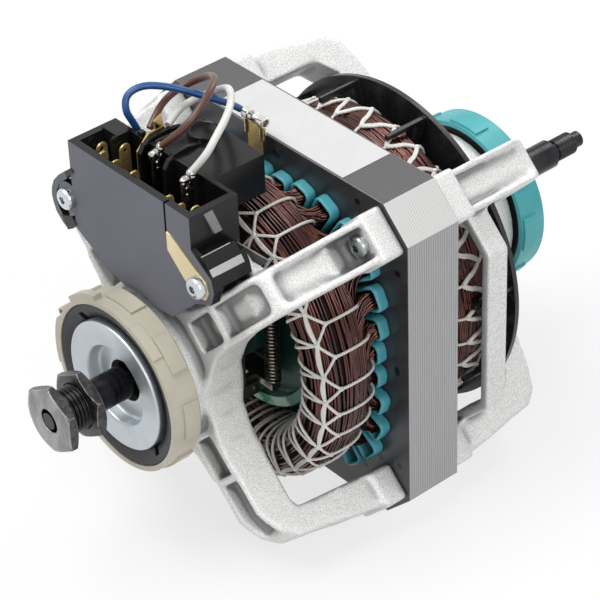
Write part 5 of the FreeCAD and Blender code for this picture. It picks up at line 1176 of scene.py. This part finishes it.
def sleeve(stations, along, up, columns=28):
    """A crimp along the x axis: (x, radius) stations out and back, pressed in by a seam on top."""
    across, radius = np.array(stations, dtype=float).T[:, :, None]
    turn = np.linspace(0.0, 2 * math.pi, columns + 1)[None, :]
    radius = radius * (1 - 0.16 * np.exp(-((turn - math.pi / 2) / 0.35) ** 2))
    return np.stack([across + 0 * turn, along + radius * np.cos(turn), up + radius * np.sin(turn)], axis=-1)


rolled = np.linspace(0.0, 1.35 * math.pi, 12)
right_roll = np.c_[-3.0 + 0.95 * np.sin(rolled), -15.5 + 1.05 * np.cos(rolled)]
left_roll = np.c_[-11.5 - 0.95 * np.sin(rolled), -15.5 + 1.05 * np.cos(rolled)]
socket = folded(np.concatenate([left_roll[::-1], right_roll]), 0.45, 70.2, 75.4)
neck = folded([(-9.4, -14.5), (-8.2, -14.5), (-6.4, -14.5), (-5.2, -14.5)], 0.5, 75.2, 77.0)
socket_brass = metal("socket_brass", (0.50, 0.38, 0.17), (0.78, 0.66, 0.40), 0.24, 600.0, rounding=0.0)
crimp_tin = metal("crimp_tin", (0.62, 0.61, 0.56), (0.84, 0.83, 0.79), 0.24, 500.0, depth=0.00005, rounding=0.0)
wire_crimp = sleeve([(-1.0, 1.5), (-1.0, 1.95), (-1.3, 2.15), (-2.0, 2.05), (-3.6, 1.85), (-5.6, 2.0),
                     (-6.4, 2.2), (-6.7, 1.9), (-6.7, 1.3), (-1.6, 1.3), (-1.0, 1.5)], -15.6, 78.0)
cover_crimp = sleeve([(-9.3, 1.5), (-9.3, 2.0), (-9.6, 2.25), (-11.2, 2.15), (-12.2, 2.3), (-12.5, 2.0),
                      (-12.5, 1.5), (-9.3, 1.5)], -15.6, 78.0)
flag = shell("flag_terminal_socket", [socket, neck], socket_brass, crease=35)
crimps = shell("flag_terminal_crimps", [wire_crimp, cover_crimp], crimp_tin, crease=35)
for piece in (flag, crimps):
    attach(piece, "stator")
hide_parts("flag_terminal")


# Rating label.
# White coated paper glued on the top of the stack. It is left bare; it has only the paper's own
# fibre, a slight gloss and a few faint smudges.
label_paper, tree, shader = shader_of("label_paper")
fibre = grain(tree, 900.0, stretch=(1.0, 0.25, 1.0))
smudge = spread(tree, grain(tree, 30.0, detail=5.0), 0.0, 0.4, 0.55, 0.75)
paper = mixed(tree, fibre, (0.57, 0.57, 0.57), (0.64, 0.64, 0.645))
feed(tree, shader, Base_Color=mixed(tree, smudge, paper, (0.52, 0.52, 0.515)),
     Roughness=spread(tree, fibre, 0.36, 0.50))
relief(tree, shader, fibre, 0.00002, rounding=0.0001)
dress("rating_label", label_paper)


# Leads.
# Three insulated copper wires over the switch. Two are soldered to tabs and run back to the ledge;
# the blue one ends in the crimped terminal on the protector's blade.
LEADS = {
    "lead_blue": ((0.007, 0.060, 0.21), (0.011, 0.080, 0.27), [
        (-26.6, -53.4, 79.4), (-26.4, -55.8, 84.8), (-27.4, -58.0, 90.0), (-29.2, -55.8, 94.9),
        (-27.6, -49.4, 96.8), (-22.6, -42.2, 95.4), (-16.8, -35.4, 92.4), (-12.8, -29.4, 89.2),
        (-12.0, -23.8, 85.2), (-13.4, -19.6, 81.6), (-14.2, -16.5, 78.7)]),
    "lead_brown": ((0.075, 0.028, 0.018), (0.11, 0.045, 0.028), [
        (-5.5, -60.0, 85.4), (-3.4, -58.4, 88.2), (0.4, -55.8, 92.2), (2.1, -51.0, 96.5),
        (0.8, -45.0, 99.5), (-2.0, -38.8, 101.5), (-7.1, -32.4, 101.5), (-14.5, -29.0, 98.0),
        (-21.6, -30.8, 93.4), (-25.2, -37.0, 90.2), (-24.0, -44.0, 88.6), (-21.0, -49.8, 86.8),
        (-19.4, -53.6, 84.2)]),
    "lead_white": ((0.62, 0.61, 0.58), (0.78, 0.77, 0.74), [
        (13.3, -61.8, 84.4), (14.8, -59.6, 87.4), (16.2, -56.0, 91.4), (15.2, -51.0, 95.5),
        (12.7, -44.6, 98.5), (8.2, -38.5, 99.5), (2.4, -33.2, 99.0), (-4.6, -28.6, 96.8),
        (-11.2, -26.0, 92.8), (-17.3, -26.8, 88.8), (-20.8, -31.2, 86.4), (-20.6, -37.4, 86.0),
        (-18.2, -43.0, 86.0), (-15.8, -48.2, 84.8)]),
}
LEAD_RADIUS = 1.35 * MM


def line_length(piece):
    """Length of a curve's own line, read from the mesh that it makes without its bevel."""
    bare = piece.copy()
    bare.data = piece.data.copy()
    bare.data.bevel_depth = 0.0
    line = bpy.data.meshes.new_from_object(bare)
    points = np.empty(len(line.vertices) * 3)
    line.vertices.foreach_get("co", points)
    bpy.data.objects.remove(bare)
    return float(np.linalg.norm(np.diff(points.reshape(-1, 3), axis=0), axis=1).sum())


for name, (dark, light, route) in LEADS.items():
    curve = bpy.data.curves.new(name + "_insulation", "CURVE")
    curve.dimensions = "3D"
    spline = curve.splines.new("NURBS")
    spline.points.add(len(route) - 1)
    spline.points.foreach_set("co", np.c_[np.array(route) * MM, np.ones(len(route))].ravel())
    spline.order_u = 3
    spline.use_endpoint_u = True
    spline.resolution_u = 12
    curve.bevel_depth = LEAD_RADIUS
    curve.bevel_resolution = 6
    curve.use_fill_caps = True
    insulation = placed(name + "_insulation", curve)
    curve.materials.append(moulded(name, dark, light, 0.32, scale=500.0, rounding=0.0))
    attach(insulation, "stator")
    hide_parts(name)
    line_length(insulation)
